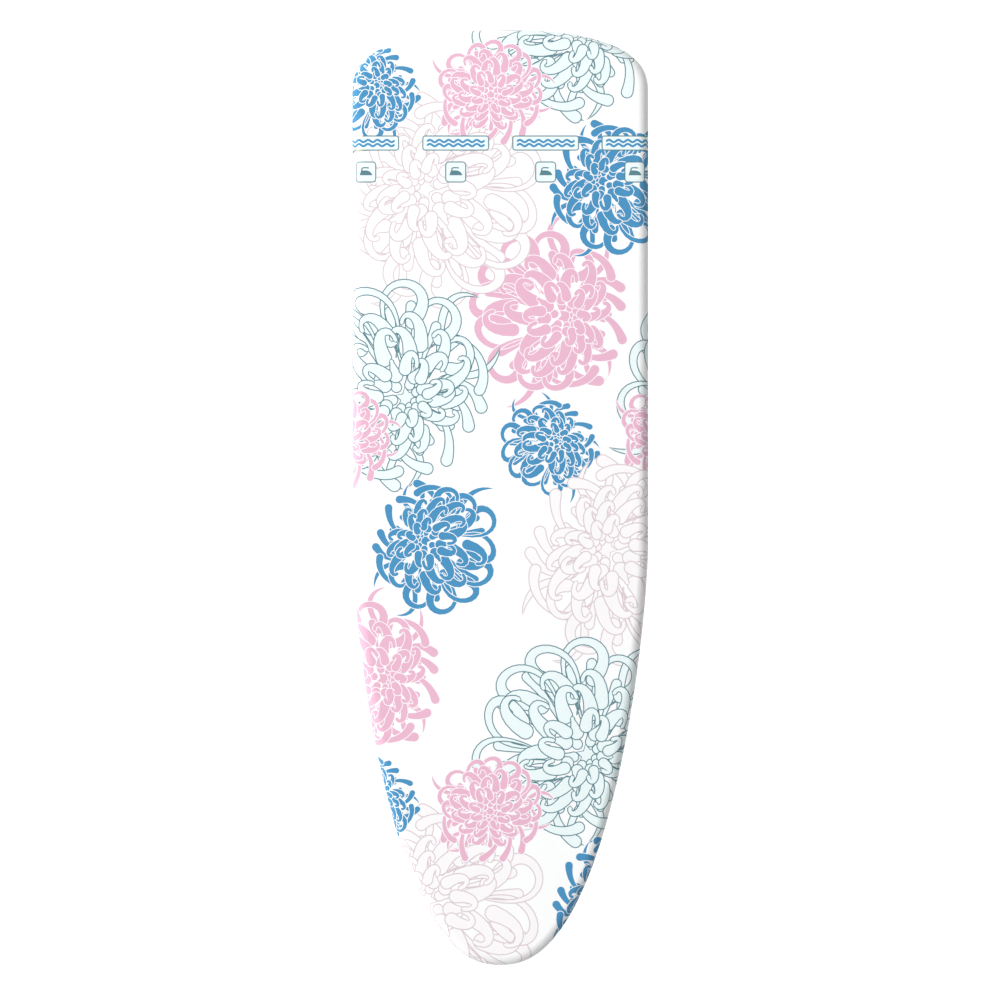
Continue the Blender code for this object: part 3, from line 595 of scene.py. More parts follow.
def polar(radius, degrees):
    a = math.radians(degrees)
    return np.array((radius * math.cos(a), radius * math.sin(a)))


def bezier(points, steps):
    """A Bezier curve of any degree through its control points."""
    t = np.linspace(0.0, 1.0, steps + 1)[:, None]
    n = len(points) - 1
    return sum(math.comb(n, i) * (1 - t) ** (n - i) * t ** i * p for i, p in enumerate(points))


def brush(line, half, pointed, cap=5):
    """The outline of a brush stroke with a pointed start and a round or pointed end."""
    ahead = np.gradient(line, axis=0)
    ahead /= np.linalg.norm(ahead, axis=1)[:, None]
    side = np.stack((-ahead[:, 1], ahead[:, 0]), 1)
    left, right = line + side * half[:, None], line - side * half[:, None]
    start = line[0] - ahead[0] * half[0]
    if pointed:
        end = line[-1] + ahead[-1] * half[-1]
        return np.array([start, *right[1:-1], end, *left[1:-1][::-1]])
    turn = [line[-1] + half[-1] * (ahead[-1] * math.cos(a) + side[-1] * math.sin(a))
            for a in np.linspace(-math.pi / 2, math.pi / 2, cap + 2)[1:-1]]
    return np.array([start, *right, *turn, *left[::-1]])


class Flower:
    """A chrysanthemum as brush strokes in painting order, of unit radius, with its star at (0, 0).

    Petals on the side `back` (degrees) are longer, as if the flower were seen from the other side.
    """

    def __init__(self, seed, lean, back, petals, fineness):
        self.rng = random.Random(seed)
        self.fineness = fineness
        self.lean, self.back = lean, back
        self.strokes = []
        self.tendrils()
        self.straps(20)
        self.fingers()
        self.loops(petals)
        self.star()
        self.commas(13, 0.98, 0.64, 18, 0.084)
        self.commas(12, 0.76, 0.45, 19, 0.084)
        self.scales()
        self.commas(9, 0.53, 0.31, 20, 0.070)

    def reach(self, a):
        """How far the flower spreads in a direction, beside its mean radius."""
        return 1 - 0.4 * self.lean + self.lean * math.cos(math.radians(a))

    def petal(self, points, fat, steps, pointed=False, thin=0.0):
        """A stroke through (radius, degrees from the flower's back) points."""
        size = 0.6 + 0.4 * self.reach(points[-1][1])
        steps = max(round(steps * self.fineness), 2)
        line = bezier([polar(r * self.reach(a), a + self.back) for r, a in points], steps)
        t = np.linspace(0.0, 1.0, steps + 1)
        if pointed:
            swell = np.sin(math.pi * t) ** 0.8
        else:
            swell = np.minimum(t / 0.3, 1) ** 0.7 * (0.34 + 0.66 * t ** 1.8)
        self.strokes.append((line, np.maximum(fat * size * swell, 0.004 + thin), pointed))

    def jitter(self, k, count, share):
        return 360 * (k + self.rng.uniform(-share, share)) / count

    def tendrils(self):
        """Thin pointed florets that stick out."""
        for a, c in ((-62, 20), (-118, -16), (152, 22), (118, -18), (74, 14)):
            a += self.rng.uniform(-8, 8)
            self.petal(((0.5, a - c), (0.8, a - 0.8 * c), (1.1, a + c * 0.4),
                        (1.38, a - c * 0.1), (1.50, a - c * 0.7)), 0.044, 14, True)

    def straps(self, count):
        """Long strips that show inside the loops."""
        for k in range(count):
            a = self.jitter(k, count, 0.22)
            c = self.rng.uniform(-8, 8)
            end = 0.94 + self.rng.uniform(-0.08, 0.04)
            self.petal(((0.38, a), (0.62, a + c), (end, a + c / 2)), 0.056, 6, thin=0.01)

    def fingers(self):
        """Strips with fat round ends that point outwards, on the flower's near side."""
        for a, s in ((172, 1), (196, 1), (148, -1), (222, 1), (124, -1)):
            a += self.rng.uniform(-5, 5)
            g = self.rng.uniform(0.96, 1.1)
            self.petal(((0.45, a + s * 34), (0.80, a + s * 32), (1.08 * g, a + s * 18), (1.30 * g, a)),
                       0.080, 11)
        for s in (-1, 1):
            self.petal(((0.62, s * 68), (0.98, s * 78), (1.22, s * 94), (1.34, s * 116), (1.18, s * 128)),
                       0.072, 15)

    def loops(self, count):
        """Long open loops round the flower's far side, their fat ends curling inwards."""
        for k in range(count):
            a = 206 * ((k + 0.5) / count - 0.5) + self.rng.uniform(-3, 3)
            s = -1 if a < 0 else 1
            if self.rng.random() < 0.2:
                s = -s
            g = self.rng.uniform(0.94, 1.06)
            self.petal(((0.42 * g, a - s * 6), (0.88 * g, a - s * 20), (1.34 * g, a - s * 17),
                        (1.38 * g, a + s * 17), (1.00 * g, a + s * 16), (0.76 * g, a + s * 6)),
                       0.078, 17)

    def star(self):
        points = np.array([polar(0.135 if i % 2 else 0.075, 30 * i + 12) for i in range(12)])
        self.strokes.append((points, None, True))

    def scales(self):
        """Small round petals pointing at the star."""
        for k in range(7):
            a = self.jitter(k, 7, 0.1)
            self.petal(((0.24, a), (0.15, a)), 0.056, 2, thin=0.045)
        for k in range(9):
            a = self.jitter(k + 0.5, 9, 0.15)
            c = self.rng.uniform(-8, 8)
            self.petal(((0.40, a + c), (0.32, a + c / 2), (0.25, a)), 0.076, 5, thin=0.02)

    def commas(self, count, outer, tip, bend, fat):
        """Petals that arch over the smaller ones, their fat ends turned to the star."""
        for k in range(count):
            a = self.jitter(k + 0.4, count, 0.15) - 180
            s = (1 if a > 0 else -1) * (-1 if self.rng.random() < 0.2 else 1)
            g = self.rng.uniform(0.94, 1.06)
            self.petal(((outer * g - 0.15, a - s * bend), (outer * g, a - s * bend * 0.95),
                        (outer * g + 0.03, a - s * bend * 0.15), (tip * g, a)), fat, 8, thin=0.022)


def shape_of(stroke, grow, radius):
    """A stroke's outline grown by `grow` metres, on a flower of that radius."""
    line, half, pointed = stroke
    if half is None:
        size = np.linalg.norm(line, axis=1)[:, None]
        return line * radius + line / size * grow
    return brush(line * radius, half * radius + grow, pointed)


def print_shapes():
    """(outline, colour) of everything printed, in printing order."""
    shapes = []
    for x, y, radius, back, kind, style in FLOWERS:
        fineness = min(max(radius / MID_FLOWER, 0.7), 1.25)
        motif = Flower(*MOTIFS[kind], fineness)
        edge, edge_colour, fill_colour = STYLES[style]
        lines = style in ("teal", "pale")
        turn = math.radians(back - motif.back)
        matrix = np.array(((math.cos(turn), -math.sin(turn)), (math.sin(turn), math.cos(turn))))
        for stroke in motif.strokes:
            for grow, colour in ((edge / 2 if lines else edge, edge_colour),
                                 (-edge / 2 if lines else 0, fill_colour)):
                outline = shape_of(stroke, grow, radius) @ matrix.T + (x, y)
                shapes.append((outline, colour))
    for x in BADGE_X:
        shapes += wave_badge(x, BAR_Y) + iron_badge(x, SQUARE_Y)
    return shapes


def corner_arcs(middle, half, corner, radius, angles):
    """The arcs round a rectangle's corners, anticlockwise, about points `corner` inside its sides."""
    return [[middle + (sx * (half[0] - corner), sy * (half[1] - corner)) + polar(radius, start + a)
             for a in angles]
            for sx, sy, start in ((1, 1, 0), (-1, 1, 90), (-1, -1, 180), (1, -1, 270))]


def rounded_frame(x, y, half, corner):
    """A rounded rectangle drawn as a line round a tinted field."""
    shapes = []
    for grow, colour in ((BADGE_LINE / 2, TEAL_LINE), (-BADGE_LINE / 2, TEAL_TINT)):
        arcs = corner_arcs(np.array((x, y)), half, corner, corner + grow, (0, 30, 60, 90))
        shapes.append((np.concatenate(arcs), colour))
    return shapes


def wave_badge(x, y):
    """A framed bar with two wavy bands."""
    shapes = rounded_frame(x, y, BAR_HALF, 0.003)
    along = np.linspace(-0.036, 0.036, 65)
    for rise in (-0.0026, 0.0026):
        line = np.stack((x + along, y + rise + 0.0015 * np.sin(along * 2 * math.pi / 0.012)), 1)
        shapes.append((brush(line, np.full(len(line), 0.0014), False, 3), BLUE))
    return shapes


def iron_badge(x, y):
    """A rounded square with the outline of an iron."""
    tip = bezier([np.array(p) for p in ((0.0085, -0.0042), (0.0070, 0.0012), (0.0008, 0.0020))], 8)
    sole = np.concatenate(([(-0.0082, -0.0042)], tip, [(-0.0060, 0.0020)]))
    handle = bezier([np.array(p) for p in ((-0.0052, 0.0018), (-0.0052, 0.0060), (-0.0030, 0.0058),
                                          (0.0034, 0.0052))], 8)
    grip = brush(handle + (x, y), np.full(len(handle), 0.0008), False)
    return rounded_frame(x, y, SQUARE_HALF, 0.004) + [(sole + (x, y), TEAL_LINE), (grip, TEAL_LINE)]


def inside(points, outline):
    """Which points an outline winds round."""
    x, y = points[:, 0:1], points[:, 1:2]
    x0, y0 = outline[:, 0], outline[:, 1]
    x1, y1 = np.roll(x0, -1), np.roll(y0, -1)
    left = (x1 - x0) * (y - y0) - (x - x0) * (y1 - y0)
    up = (y0 <= y) & (y1 > y) & (left > 0)
    down = (y0 > y) & (y1 <= y) & (left < 0)
    return up.sum(1) != down.sum(1)


def colours_at(points, shapes):
    """The printed colour at each point: that of the last shape over it."""
    order = np.argsort(points[:, 0])
    sorted_x = points[order, 0]
    colours = np.full(len(points), WHITE)
    for outline, colour in shapes:
        low, high = outline.min(0), outline.max(0)
        near = order[np.searchsorted(sorted_x, low[0]):np.searchsorted(sorted_x, high[0])]
        near = near[(points[near, 1] > low[1]) & (points[near, 1] < high[1])]
        if len(near):
            colours[near[inside(points[near], outline)]] = colour
    return colours


def triangulate(points, edges, fence, near=1e-6):
    """The points and triangles of a flat sheet cut along edges, within a closed line of its points."""
    made = delaunay_2d_cdt([Vector(p) for p in points], edges, [list(fence)], 1, near, False)
    return np.array([(v.x, v.y) for v in made[0]]), np.array(made[2])


def cut_along(lines, fence):
    """Triangles whose edges follow closed lines, within the fence."""
    points, edges = [], []
    for line in lines:
        first = len(points)
        points += list(line)
        edges += [(first + i, first + (i + 1) % len(line)) for i in range(len(line))]
    return triangulate((*points, *fence), edges, range(len(points), len(points) + len(fence)))


def colour_edges(triangles, colours):
    """The edges where two colours meet, as point pairs."""
    ends = np.concatenate((triangles, np.roll(triangles, -1, 1)), 0).reshape(2, -1).T
    ends = np.sort(ends, 1)
    owner = np.repeat(np.arange(len(triangles)), 3)
    order = np.lexsort((ends[:, 1], ends[:, 0]))
    same = (ends[order][1:] == ends[order][:-1]).all(1)
    first, second = order[:-1][same], order[1:][same]
    differ = colours[owner[first]] != colours[owner[second]]
    return ends[first[differ]]


# ---------------------------------------------------------------- the cover

def staggered(pitch):
    """Points over the whole board, every other row shifted by half a pitch."""
    return np.array([(x + (row % 2) * pitch / 2, y)
                     for row, y in enumerate(np.arange(-HALF_LENGTH, HALF_LENGTH, pitch))
                     for x in np.arange(-HALF_WIDTH, HALF_WIDTH, pitch)])


def bending_points(wrap):
    """Rings along the edge and a grid on top, so that the cloth bends smoothly."""
    steps = np.concatenate((np.linspace(0, wrap.parts[0], 8),
                            np.linspace(wrap.parts[1], wrap.reach, 9)))
    rings = [board_contour(SHOULDER - past, 500 if past < wrap.parts[1] else 1000) for past in steps]
    grid = staggered(CLOTH_PITCH)
    past = wrap.local(grid)[0]
    return [*board_contour(SHOULDER + 0.008, 300), *grid[past < -CLOTH_PITCH]], rings


def print_lines(boundary):
    """What is printed within the boundary, with the points and edges where its colours meet."""
    low, high = boundary.min(0), boundary.max(0)
    shapes = [(outline, colour) for outline, colour in print_shapes()
              if (outline.max(0) > low).all() and (outline.min(0) < high).all()]
    flat, triangles = cut_along([outline for outline, _ in shapes], boundary)
    meeting = colour_edges(triangles, colours_at(flat[triangles].mean(1), shapes))
    used, index = np.unique(meeting, return_inverse=True)
    return shapes, flat[used], [tuple(e) for e in index.reshape(-1, 2).tolist()]


def build_cover(wrap):
    """The cloth as one mesh, with a face boundary along every edge of the print."""
    boundary = board_contour(SHOULDER - wrap.reach + PRINT_END, 520)
    shapes, lines, edges = print_lines(boundary)
    inner, rings = bending_points(wrap)
    points = [*lines, *inner, *[p for ring in rings for p in ring]]
    flat, triangles = triangulate(points, edges, range(len(points) - len(rings[-1]), len(points)))
    triangles = triangles[inside(flat[triangles].mean(1), rings[-1])]
    middles = flat[triangles].mean(1)
    colours = colours_at(middles, shapes)
    colours[~inside(middles, boundary)] = WHITE
    cover = add_mesh("printed_cover", wrap.place(flat), triangles.tolist(), FINISH[WHITE])
    mesh = cover.data
    for slot in list(COTTON)[1:]:
        mesh.materials.append(FINISH[slot])
    mesh.polygons.foreach_set("material_index", np.array(colours, np.int32))
    uv = mesh.uv_layers.new(name="cloth")
    uv.data.foreach_set("uv", flat[triangles.ravel()].astype(np.float32).ravel())
    mesh.update()
    mesh.normals_split_custom_set_from_vertices([tuple(n) for n in cloth_normals(wrap, flat)])
    return cover


# ---------------------------------------------------------------- layers under the cover

def contour_ring(inset, depth, count):
    flat = board_contour(inset, count)
    return np.concatenate((flat, np.full((count, 1), TOP - depth)), 1)


def under_shoulder(depth):
    """How far inside the outline a layer at that depth ends, to stay within the cover."""
    room = SHOULDER - COVER_ROOM
    return SHOULDER - math.sqrt(max(room ** 2 - (SHOULDER - min(depth, SHOULDER)) ** 2, 0))


def pad_edges(top, bottom):
    """(inset, depth) rings down a soft layer's edge, its rims a little rounded."""
    edges = [(under_shoulder(d), d) for d in np.linspace(top, bottom, 6)]
    edges[0] = (edges[0][0] + 0.0010, top)
    edges[-1] = (edges[-1][0] + 0.0008, bottom)
    return edges


def pad_layer(name, node, slot, waviness):
    """A soft slab cut to the board's outline, shaped to the cover's edge, with an uneven surface."""
    low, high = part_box(node)
    top, bottom = TOP - high.z, TOP - low.z
    edges = pad_edges(top, bottom)
    grid = staggered(PAD_PITCH)
    grid = grid[inside(grid, board_contour(edges[0][0] + 0.014, EDGE_POINTS))]
    inner = board_contour(edges[0][0] + 0.0040, EDGE_POINTS)
    flat, triangles = triangulate((*inner, *grid), [], range(EDGE_POINTS), 1e-7)
    uneven = waviness * np.sin(61 * flat[:, 0] + 2 * np.sin(13 * flat[:, 1])) * np.sin(47 * flat[:, 1])
    uneven[:EDGE_POINTS] = 0
    total = len(flat)
    points = [(x, y, TOP - top - abs(u)) for (x, y), u in zip(flat, uneven)]
    points += [(x, y, TOP - bottom + abs(u)) for (x, y), u in zip(flat, uneven)]
    faces = triangles.tolist() + (triangles[:, (0, 2, 1)] + total).tolist()
    starts = [0]
    for inset, depth in edges:
        starts.append(len(points))
        points += contour_ring(inset, depth, EDGE_POINTS).tolist()
    starts.append(total)
    for a, b in zip(starts, starts[1:]):
        faces += [(a + j, b + j, b + (j + 1) % EDGE_POINTS, a + (j + 1) % EDGE_POINTS)
                  for j in range(EDGE_POINTS)]
    return place(add_mesh(name, points, faces, FINISH[slot]), "board", slot, node)


def build_layers():
    foam = pad_layer("foam_padding", "foam_pad", "foam", 0.00035)
    felt = pad_layer("felt_layer", "felt_underlay", "felt", 0.0002)


def mesh_openings(fence):
    """Outlines of the deck's diamond openings that lie within the fence."""
    half_x, half_y = MESH_PITCH[0] / 2, MESH_PITCH[1] / 2
    side, blunt = half_x - STRAND / 2, 0.0016
    corners = np.array(((side, -blunt), (side, blunt), (0, half_y - STRAND),
                        (-side, blunt), (-side, -blunt), (0, STRAND - half_y)))
    rows = int(2 * HALF_LENGTH / half_y)
    columns = math.ceil(HALF_WIDTH / MESH_PITCH[0]) + 1
    outlines = [corners + (column * MESH_PITCH[0] + (row % 2) * half_x, (row - rows / 2) * half_y)
                for row in range(rows + 1) for column in range(-columns, columns + 1)]
    return [outline for outline in outlines if inside(outline, fence).all()]


def build_deck():
    """Expanded metal: rows of diamond openings between slightly twisted strands."""
    low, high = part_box("deck_sheet")
    edge = board_contour(HALF_WIDTH - high.x, EDGE_POINTS)
    fence = board_contour(HALF_WIDTH - high.x + DECK_BORDER, EDGE_POINTS)
    points, faces = list(edge), [list(range(len(edge)))]
    for outline in mesh_openings(fence):
        faces.append(list(range(len(points), len(points) + len(outline))))
        points += list(outline)
    made = delaunay_2d_cdt([Vector(p) for p in points], [], faces, 0, 1e-7, True)
    flat = np.array([(v.x, v.y) for v in made[0]])
    triangles = [t for t, origins in zip(made[2], made[5]) if origins == [0]]
    used, index = np.unique([i for t in triangles for i in t], return_inverse=True)
    flat, triangles = flat[used], index.reshape(-1, 3)
    twist = STRAND_TWIST * np.sin(flat[:, 1] * 2 * math.pi / MESH_PITCH[1])
    twist[~inside(flat, fence)] = 0
    deck = add_mesh("expanded_deck", np.column_stack((flat, low.z + STRAND_TWIST + twist)), triangles,
                    FINISH["deck_paint"], CRISP)
    sheet = deck.modifiers.new("thickness", "SOLIDIFY")
    sheet.thickness, sheet.offset = high.z - low.z - 2 * STRAND_TWIST, 1
    place(deck, "board", "deck_paint", "deck_sheet")


# ---------------------------------------------------------------- the hem

def hem_line(wrap, inset, count):
    """Points of the hem that far inside the outline, with their outward directions and gathers."""
    flat = board_contour(SHOULDER - wrap.reach + HEM_INSET - inset, count)
    past, foot, direction, share = wrap.local(flat)
    shift = wrap.profile(past)[0]
    return foot + direction * shift[:, None], direction, share


def tunnel_section(below):
    """(outward, upward) points round the tunnel, `below` deep under the cord."""
    section = []
    for a in np.linspace(2 * math.pi, 0, 12, endpoint=False):
        rise = math.copysign(abs(math.sin(a)) ** 0.8, math.sin(a))
        section.append((TUNNEL_HALF[0] * math.cos(a), rise * (TUNNEL_HALF[1] if rise > 0 else below)))
    return section


def build_hem(wrap):
    """The sewn tunnel round the cover's edge, its elastic cord and its row of stitches."""
    cord_low, cord_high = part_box("hem_cord")
    cord_radius = (cord_high.z - cord_low.z) / 2
    level = (cord_high.z + cord_low.z) / 2
    line, out, share = hem_line(wrap, HALF_WIDTH - cord_high.x + cord_radius, HEM_POINTS)
    spot = np.arange(HEM_POINTS) / HEM_POINTS * 2 * math.pi
    pucker = np.sin(151 * spot + 2.5 * np.sin(11 * spot)) + 0.5 * np.sin(233 * spot + 2 * np.sin(17 * spot))
    swell = 1 + 0.16 * pucker * (0.35 + 0.65 * gather(share))
    gap = np.abs(share - 0.5) * HEM_POINTS < TUNNEL_GAP
    order = np.argsort((np.arange(HEM_POINTS) - np.flatnonzero(gap).max() - 1) % HEM_POINTS)
    below = level - HEM_BOTTOM + 0.0006
    rings = [np.array([(*(line[i] + out[i] * (u + TUNNEL_SHIFT)), level + v * swell[i])
                       for u, v in tunnel_section(below)])
             for i in order[:HEM_POINTS - gap.sum()]]
    tunnel = Shape().add(rings).fit("hem_tunnel", "board", "cover_cotton", finish="hem_cotton", sharp=None)
    path = np.column_stack((line, np.full(HEM_POINTS, level)))
    Shape().add(swept(path, cord_radius, 12, True), True).fit(
        "hem_elastic", "board", "hem_cord", "hem_cord", sharp=None)
    return tunnel, build_stitches(line, out, level - 0.83 * below * swell, gap)


def build_stitches(line, out, level, gap):
    """Short thread ends that show on the tunnel's lower face, in one row near its outer edge."""
    shape = Shape()
    seam = line + out * (TUNNEL_SHIFT + TUNNEL_HALF[0] * 0.62)
    ahead = np.roll(seam, -1, 0) - seam
    for i in range(0, len(line), 2):
        if gap[i]:
            continue
        start, step = seam[i], ahead[i] * 1.15
        ends = [(*(start + step * t), level[i] - 0.0002 * math.sin(math.pi * t)) for t in (0, 0.5, 1)]
        shape.add(swept(ends, np.array((0.00018, 0.00032, 0.00018)), 5, False))
    return shape.fit("hem_stitches", "board", "cover_cotton", finish="thread", sharp=None)


# ---------------------------------------------------------------- the frame under the board

def add_weld(shape, path, radius, up):
    """A rippled bead along a closed path, its ripples shifted by how much the shape holds already."""
    phase = random.Random(len(shape.points)).uniform(0, 6)
    ripple = 1 + 0.16 * np.sin(np.arange(len(path)) * 2 * math.pi / 3.5 + phase)
    shape.add(swept(path, radius * ripple, 8, True, up), True)


def build_rim():
    """The tube round the board. Returns how far its middle is inside the outline, and its radius."""
    low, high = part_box("rim_tube")
    radius = (high.z - low.z) / 2
    inset = HALF_WIDTH - high.x + radius
    path = contour_ring(inset, TOP - low.z - radius, 480)
    Shape().add(swept(path, radius, 20, True), True).fit(
        "rim_loop", "board", "frame_paint", "rim_tube", sharp=None)
    return inset, radius


def half_width(y, inset):
    """How far from the middle the outline, moved inwards, is at `y`."""
    line = board_contour(inset, 900)
    right = line[line[:, 0] > 0]
    right = right[np.argsort(right[:, 1])]
    return np.interp(y, right[:, 1], right[:, 0])


def build_braces(rim_inset, rim_radius):
    """Rectangular tubes with rounded corners, welded to the rim at both ends."""
    welds = Shape()
    corner = 0.0028
    for node in ("wide_end", "hinge", "middle", "front", "nose"):
        low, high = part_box("brace_" + node)
        outer = brace_section(low, high, 0, corner)
        inner = brace_section(low, high, TUBE_WALL, corner - TUBE_WALL)
        rings = []
        for section, side in ((inner, -1), (outer, -1), (outer, 1), (inner, 1)):
            reach = half_width(section[:, 0], rim_inset) - 0.6 * rim_radius
            rings.append(np.column_stack((side * reach, section)))
        Shape().add(rings, True).fit("brace_tube_" + node, "board", "frame_paint", "brace_" + node)
        for side in (1, -1):
            grown = brace_section(low, high, -0.0003, corner)
            reach = half_width(grown[:, 0], rim_inset) - rim_radius * 0.92
            add_weld(welds, np.column_stack((side * reach, grown)), BRACE_WELD, (1, 0, 0))
    welds.fit("frame_welds", "board", "frame_paint", sharp=None)


def brace_section(low, high, wall, corner):
    """(y, z) points round a brace, `wall` inside its faces."""
    middle, half = np.array(((low + high) / 2)[1:]), np.array(((high - low) / 2)[1:])
    arcs = corner_arcs(middle, half, corner + wall, corner, (0, 22.5, 45, 67.5, 90))
    points = []
    for arc, following in zip(arcs, arcs[1:] + arcs[:1]):
        points += arc + [arc[-1] + (following[0] - arc[-1]) * t for t in (0.2, 0.4, 0.6, 0.8)]
    return np.array(points)


# ---------------------------------------------------------------- legs

def leg_axes(leg):
    return np.array(leg), np.cross((1, 0, 0), leg)


def saddle(side, leg_track, leg_radius, tube_radius, middle, leg):
    """Where a cross tube along X meets a leg tube: a closed line on both surfaces."""
    grow = 0.0006
    leg, across = leg_axes(leg)
    path = []
    for a in round_angles(36):
        reach = tube_radius + grow
        away = min(abs(reach * math.sin(a)), leg_radius)
        x = side * (leg_track - math.sqrt(leg_radius ** 2 - away ** 2) - grow * 0.6)
        path.append((x, *(middle + reach * (math.cos(a) * leg + math.sin(a) * across))[1:]))
    return path


def foot_weld(track, radius, foot_middle, leg):
    """Where a leg tube stands on the foot bar of the same radius."""
    leg, across = leg_axes(leg)
    reach = radius + 0.0004
    path = []
    for a in round_angles(40):
        up = max(reach * abs(math.cos(a)), 0.0015) + 0.0006
        path.append((track + reach * math.cos(a),
                     *(foot_middle - leg * up + across * reach * math.sin(a))[1:]))
    return path


def build_leg(body, hinge, cross_tubes, holes):
    """One leg frame's tubes, welds and foot bar."""
    foot = body + "_foot_bar"
    leg = (centre(foot) - centre(hinge)).normalized()
    foot_start, foot_length, foot_radius = measure(foot, (1, 0, 0))
    foot_middle = np.array(centre(foot))
    welds = Shape()
    for side in ("left", "right"):
        node = f"{body}_tube_{side}"
        start, _, radius = measure(node, leg)
        track = start[0]
        length = np.dot(foot_middle - start, np.array(leg))
        profile = rounded_pipe(length, radius, radius - TUBE_WALL, TUBE_LIP)
        tube = turned_shape(start, leg, profile, True, sides=48).fit(
            f"{body}_{side}", body, "leg_paint", node)
        for name, bore in holes:
            drill(tube, (track, *centre(name)[1:]), bore)
        add_weld(welds, foot_weld(track, radius, foot_middle, leg), WELD, leg)
    for node in cross_tubes:
        start, length, bar_radius = measure(node, (1, 0, 0))
        bore = SLEEVE_BORE if "sleeve" in node else bar_radius - TUBE_WALL
        profile = rounded_pipe(length + 2 * IN_WELD, bar_radius, bore, 0.0003)
        turned_shape(start - (IN_WELD, 0, 0), (1, 0, 0), profile, True).fit(
            node + "_fine", body, "leg_paint", node)
        for side in (1, -1):
            path = saddle(side, abs(track), radius, bar_radius, np.array(centre(node)), leg)
            add_weld(welds, path, WELD, (1, 0, 0))
    profile = rounded_pipe(foot_length, foot_radius, foot_radius - TUBE_WALL, TUBE_LIP)
    turned_shape(foot_start, (1, 0, 0), profile, True, sides=48).fit(foot + "_fine", body, "leg_paint", foot)
    welds.fit(body + "_welds", body, "leg_paint", sharp=None)
    for side, sign in (("left", -1), ("right", 1)):
        build_foot_cap(body, side, sign, foot_radius + 0.0003)
        build_plug(body, side, leg)


def build_foot_cap(body, side, sign, bore):
    """A ribbed rubber cap on the foot bar's end, flat where it stands."""
    node = f"{body}_foot_cap_{side}"
    low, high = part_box(node)
    middle = centre(body + "_foot_bar")
    profile = foot_cap_profile(high.x - low.x, high.z - middle.z, bore)
    mouth = low.x if sign > 0 else high.x
    rings = turned((mouth, middle.y, middle.z), (sign, 0, 0), profile, sides=56)
    for ring in rings:
        ring[:, 2] = np.maximum(ring[:, 2], low.z)
    Shape().add(rings).fit(node + "_ribbed", body, "rubber", node, sharp=50)


def build_plug(body, side, leg):
    """The domed plug in a leg tube's top."""
    node = f"{body}_plug_{side}"
    start, length, radius = measure(node, leg)
    dome = [(0.0, 0.002), (0.0002, radius * 0.6), (0.0008, radius * 0.92), (0.0014, radius), (0.0017, radius),
            (0.0017, radius - 0.0016), (length, radius - 0.0017), (length, 0.001)]
    turned_shape(start, leg, dome).fit(node + "_domed", body, "grey_plastic", node)


def foot_cap_profile(length, radius, bore):
    """(distance, radius) from inside the mouth out to the closed end, with grip ribs."""
    profile = [(length - 0.0077, 0.001), (length - 0.0077, bore), (0.0008, bore), (0, bore + 0.0008),
               (0, radius - 0.0026), (0.0012, radius - 0.0012), (0.004, radius - 0.0012)]
    ribs = 6
    pitch = (length - 0.014) / ribs
    for i in range(ribs):
        at = 0.005 + i * pitch
        profile += [(at, radius - 0.0010), (at + 0.0006, radius), (at + pitch - 0.0016, radius),
                    (at + pitch - 0.0010, radius - 0.0010)]
    end = length - 0.008
    profile += [(end, radius - 0.0004)]
    profile += [(end + 0.008 * math.sin(a), radius - 0.0004 - 0.006 * (1 - math.cos(a)))
                for a in np.linspace(0.2, math.pi / 2, 6)]
    return profile + [(length, 0.002)]


# ---------------------------------------------------------------- rods, bolts, caps

def build_turned(node, body, along, profile, ending, slot, closed=False, sides=SIDES, hexagon=False,
                 **look):
    """A turned piece in a CAD node's place. `profile` takes the node's length and radius."""
    start, length, radius = measure(node, along)
    turned_shape(start, along, profile(length, radius), closed, sides=sides, hexagon=hexagon).fit(
        node + ending, body, slot, node, **look)


def cap_profile(length, radius):
    """A domed push cap."""
    profile = [(length - 0.0016, 0.001), (length - 0.0016, ROD_BORE), (0, ROD_BORE), (0, radius - 0.0004),
               (0.0004, radius), (0.0013, radius), (0.0017, radius - 0.0007)]
    return profile + [(0.0017 + (length - 0.0017) * math.sin(a),
                       (radius - 0.0007) * max(math.cos(a), 0.1) ** 0.6)
                      for a in np.linspace(0.25, math.pi / 2, 8)]


def spacer_profile(length, radius, bore):
    """A nylon washer with a raised inner ring on each face."""
    face = [(0.0004, radius), (0.0001, radius - 0.0006), (0.0003, radius - 0.0020), (0, radius - 0.0024)]
    far = [(length - at, r) for at, r in face]
    return [face[0], *far, (length, bore), (0, bore), *face[:0:-1]]


def bolt_profile(length, radius):
    """A socket-head bolt with a thread past its nut."""
    shank, head, edge, pitch = 0.004, 0.005, 0.0048, 0.0008
    profile = [(0.0028, 0.0006), (0.0028, 0.0024), (0.0004, 0.0026), (0, 0.0032), (0.0006, edge)]
    profile += [((head - 0.0006) * (1 - math.cos(a)) + 0.0004, edge + (radius - edge) * math.sin(a))
                for a in np.linspace(0.5, math.pi / 2, 5)]
    thread = length - 0.012
    profile += [(head, radius - 0.0004), (head, shank), (thread, shank)]
    for i in range(int((length - 0.001 - thread) / pitch)):
        at = thread + i * pitch
        profile += [(at + 0.0002, shank - 0.0004), (at + 0.0006, shank - 0.0001)]
    return profile + [(length - 0.0006, shank - 0.0004), (length, shank - 0.0011), (length, 0.0006)]


def nut_profile(length, radius):
    """A nut with chamfered corners."""
    bore = 0.0041
    return [(0.0010, radius), (length - 0.0010, radius), (length, radius * 0.86), (length, bore + 0.0005),
            (length - 0.0005, bore), (0.0005, bore), (0, bore + 0.0005), (0, radius * 0.86)]


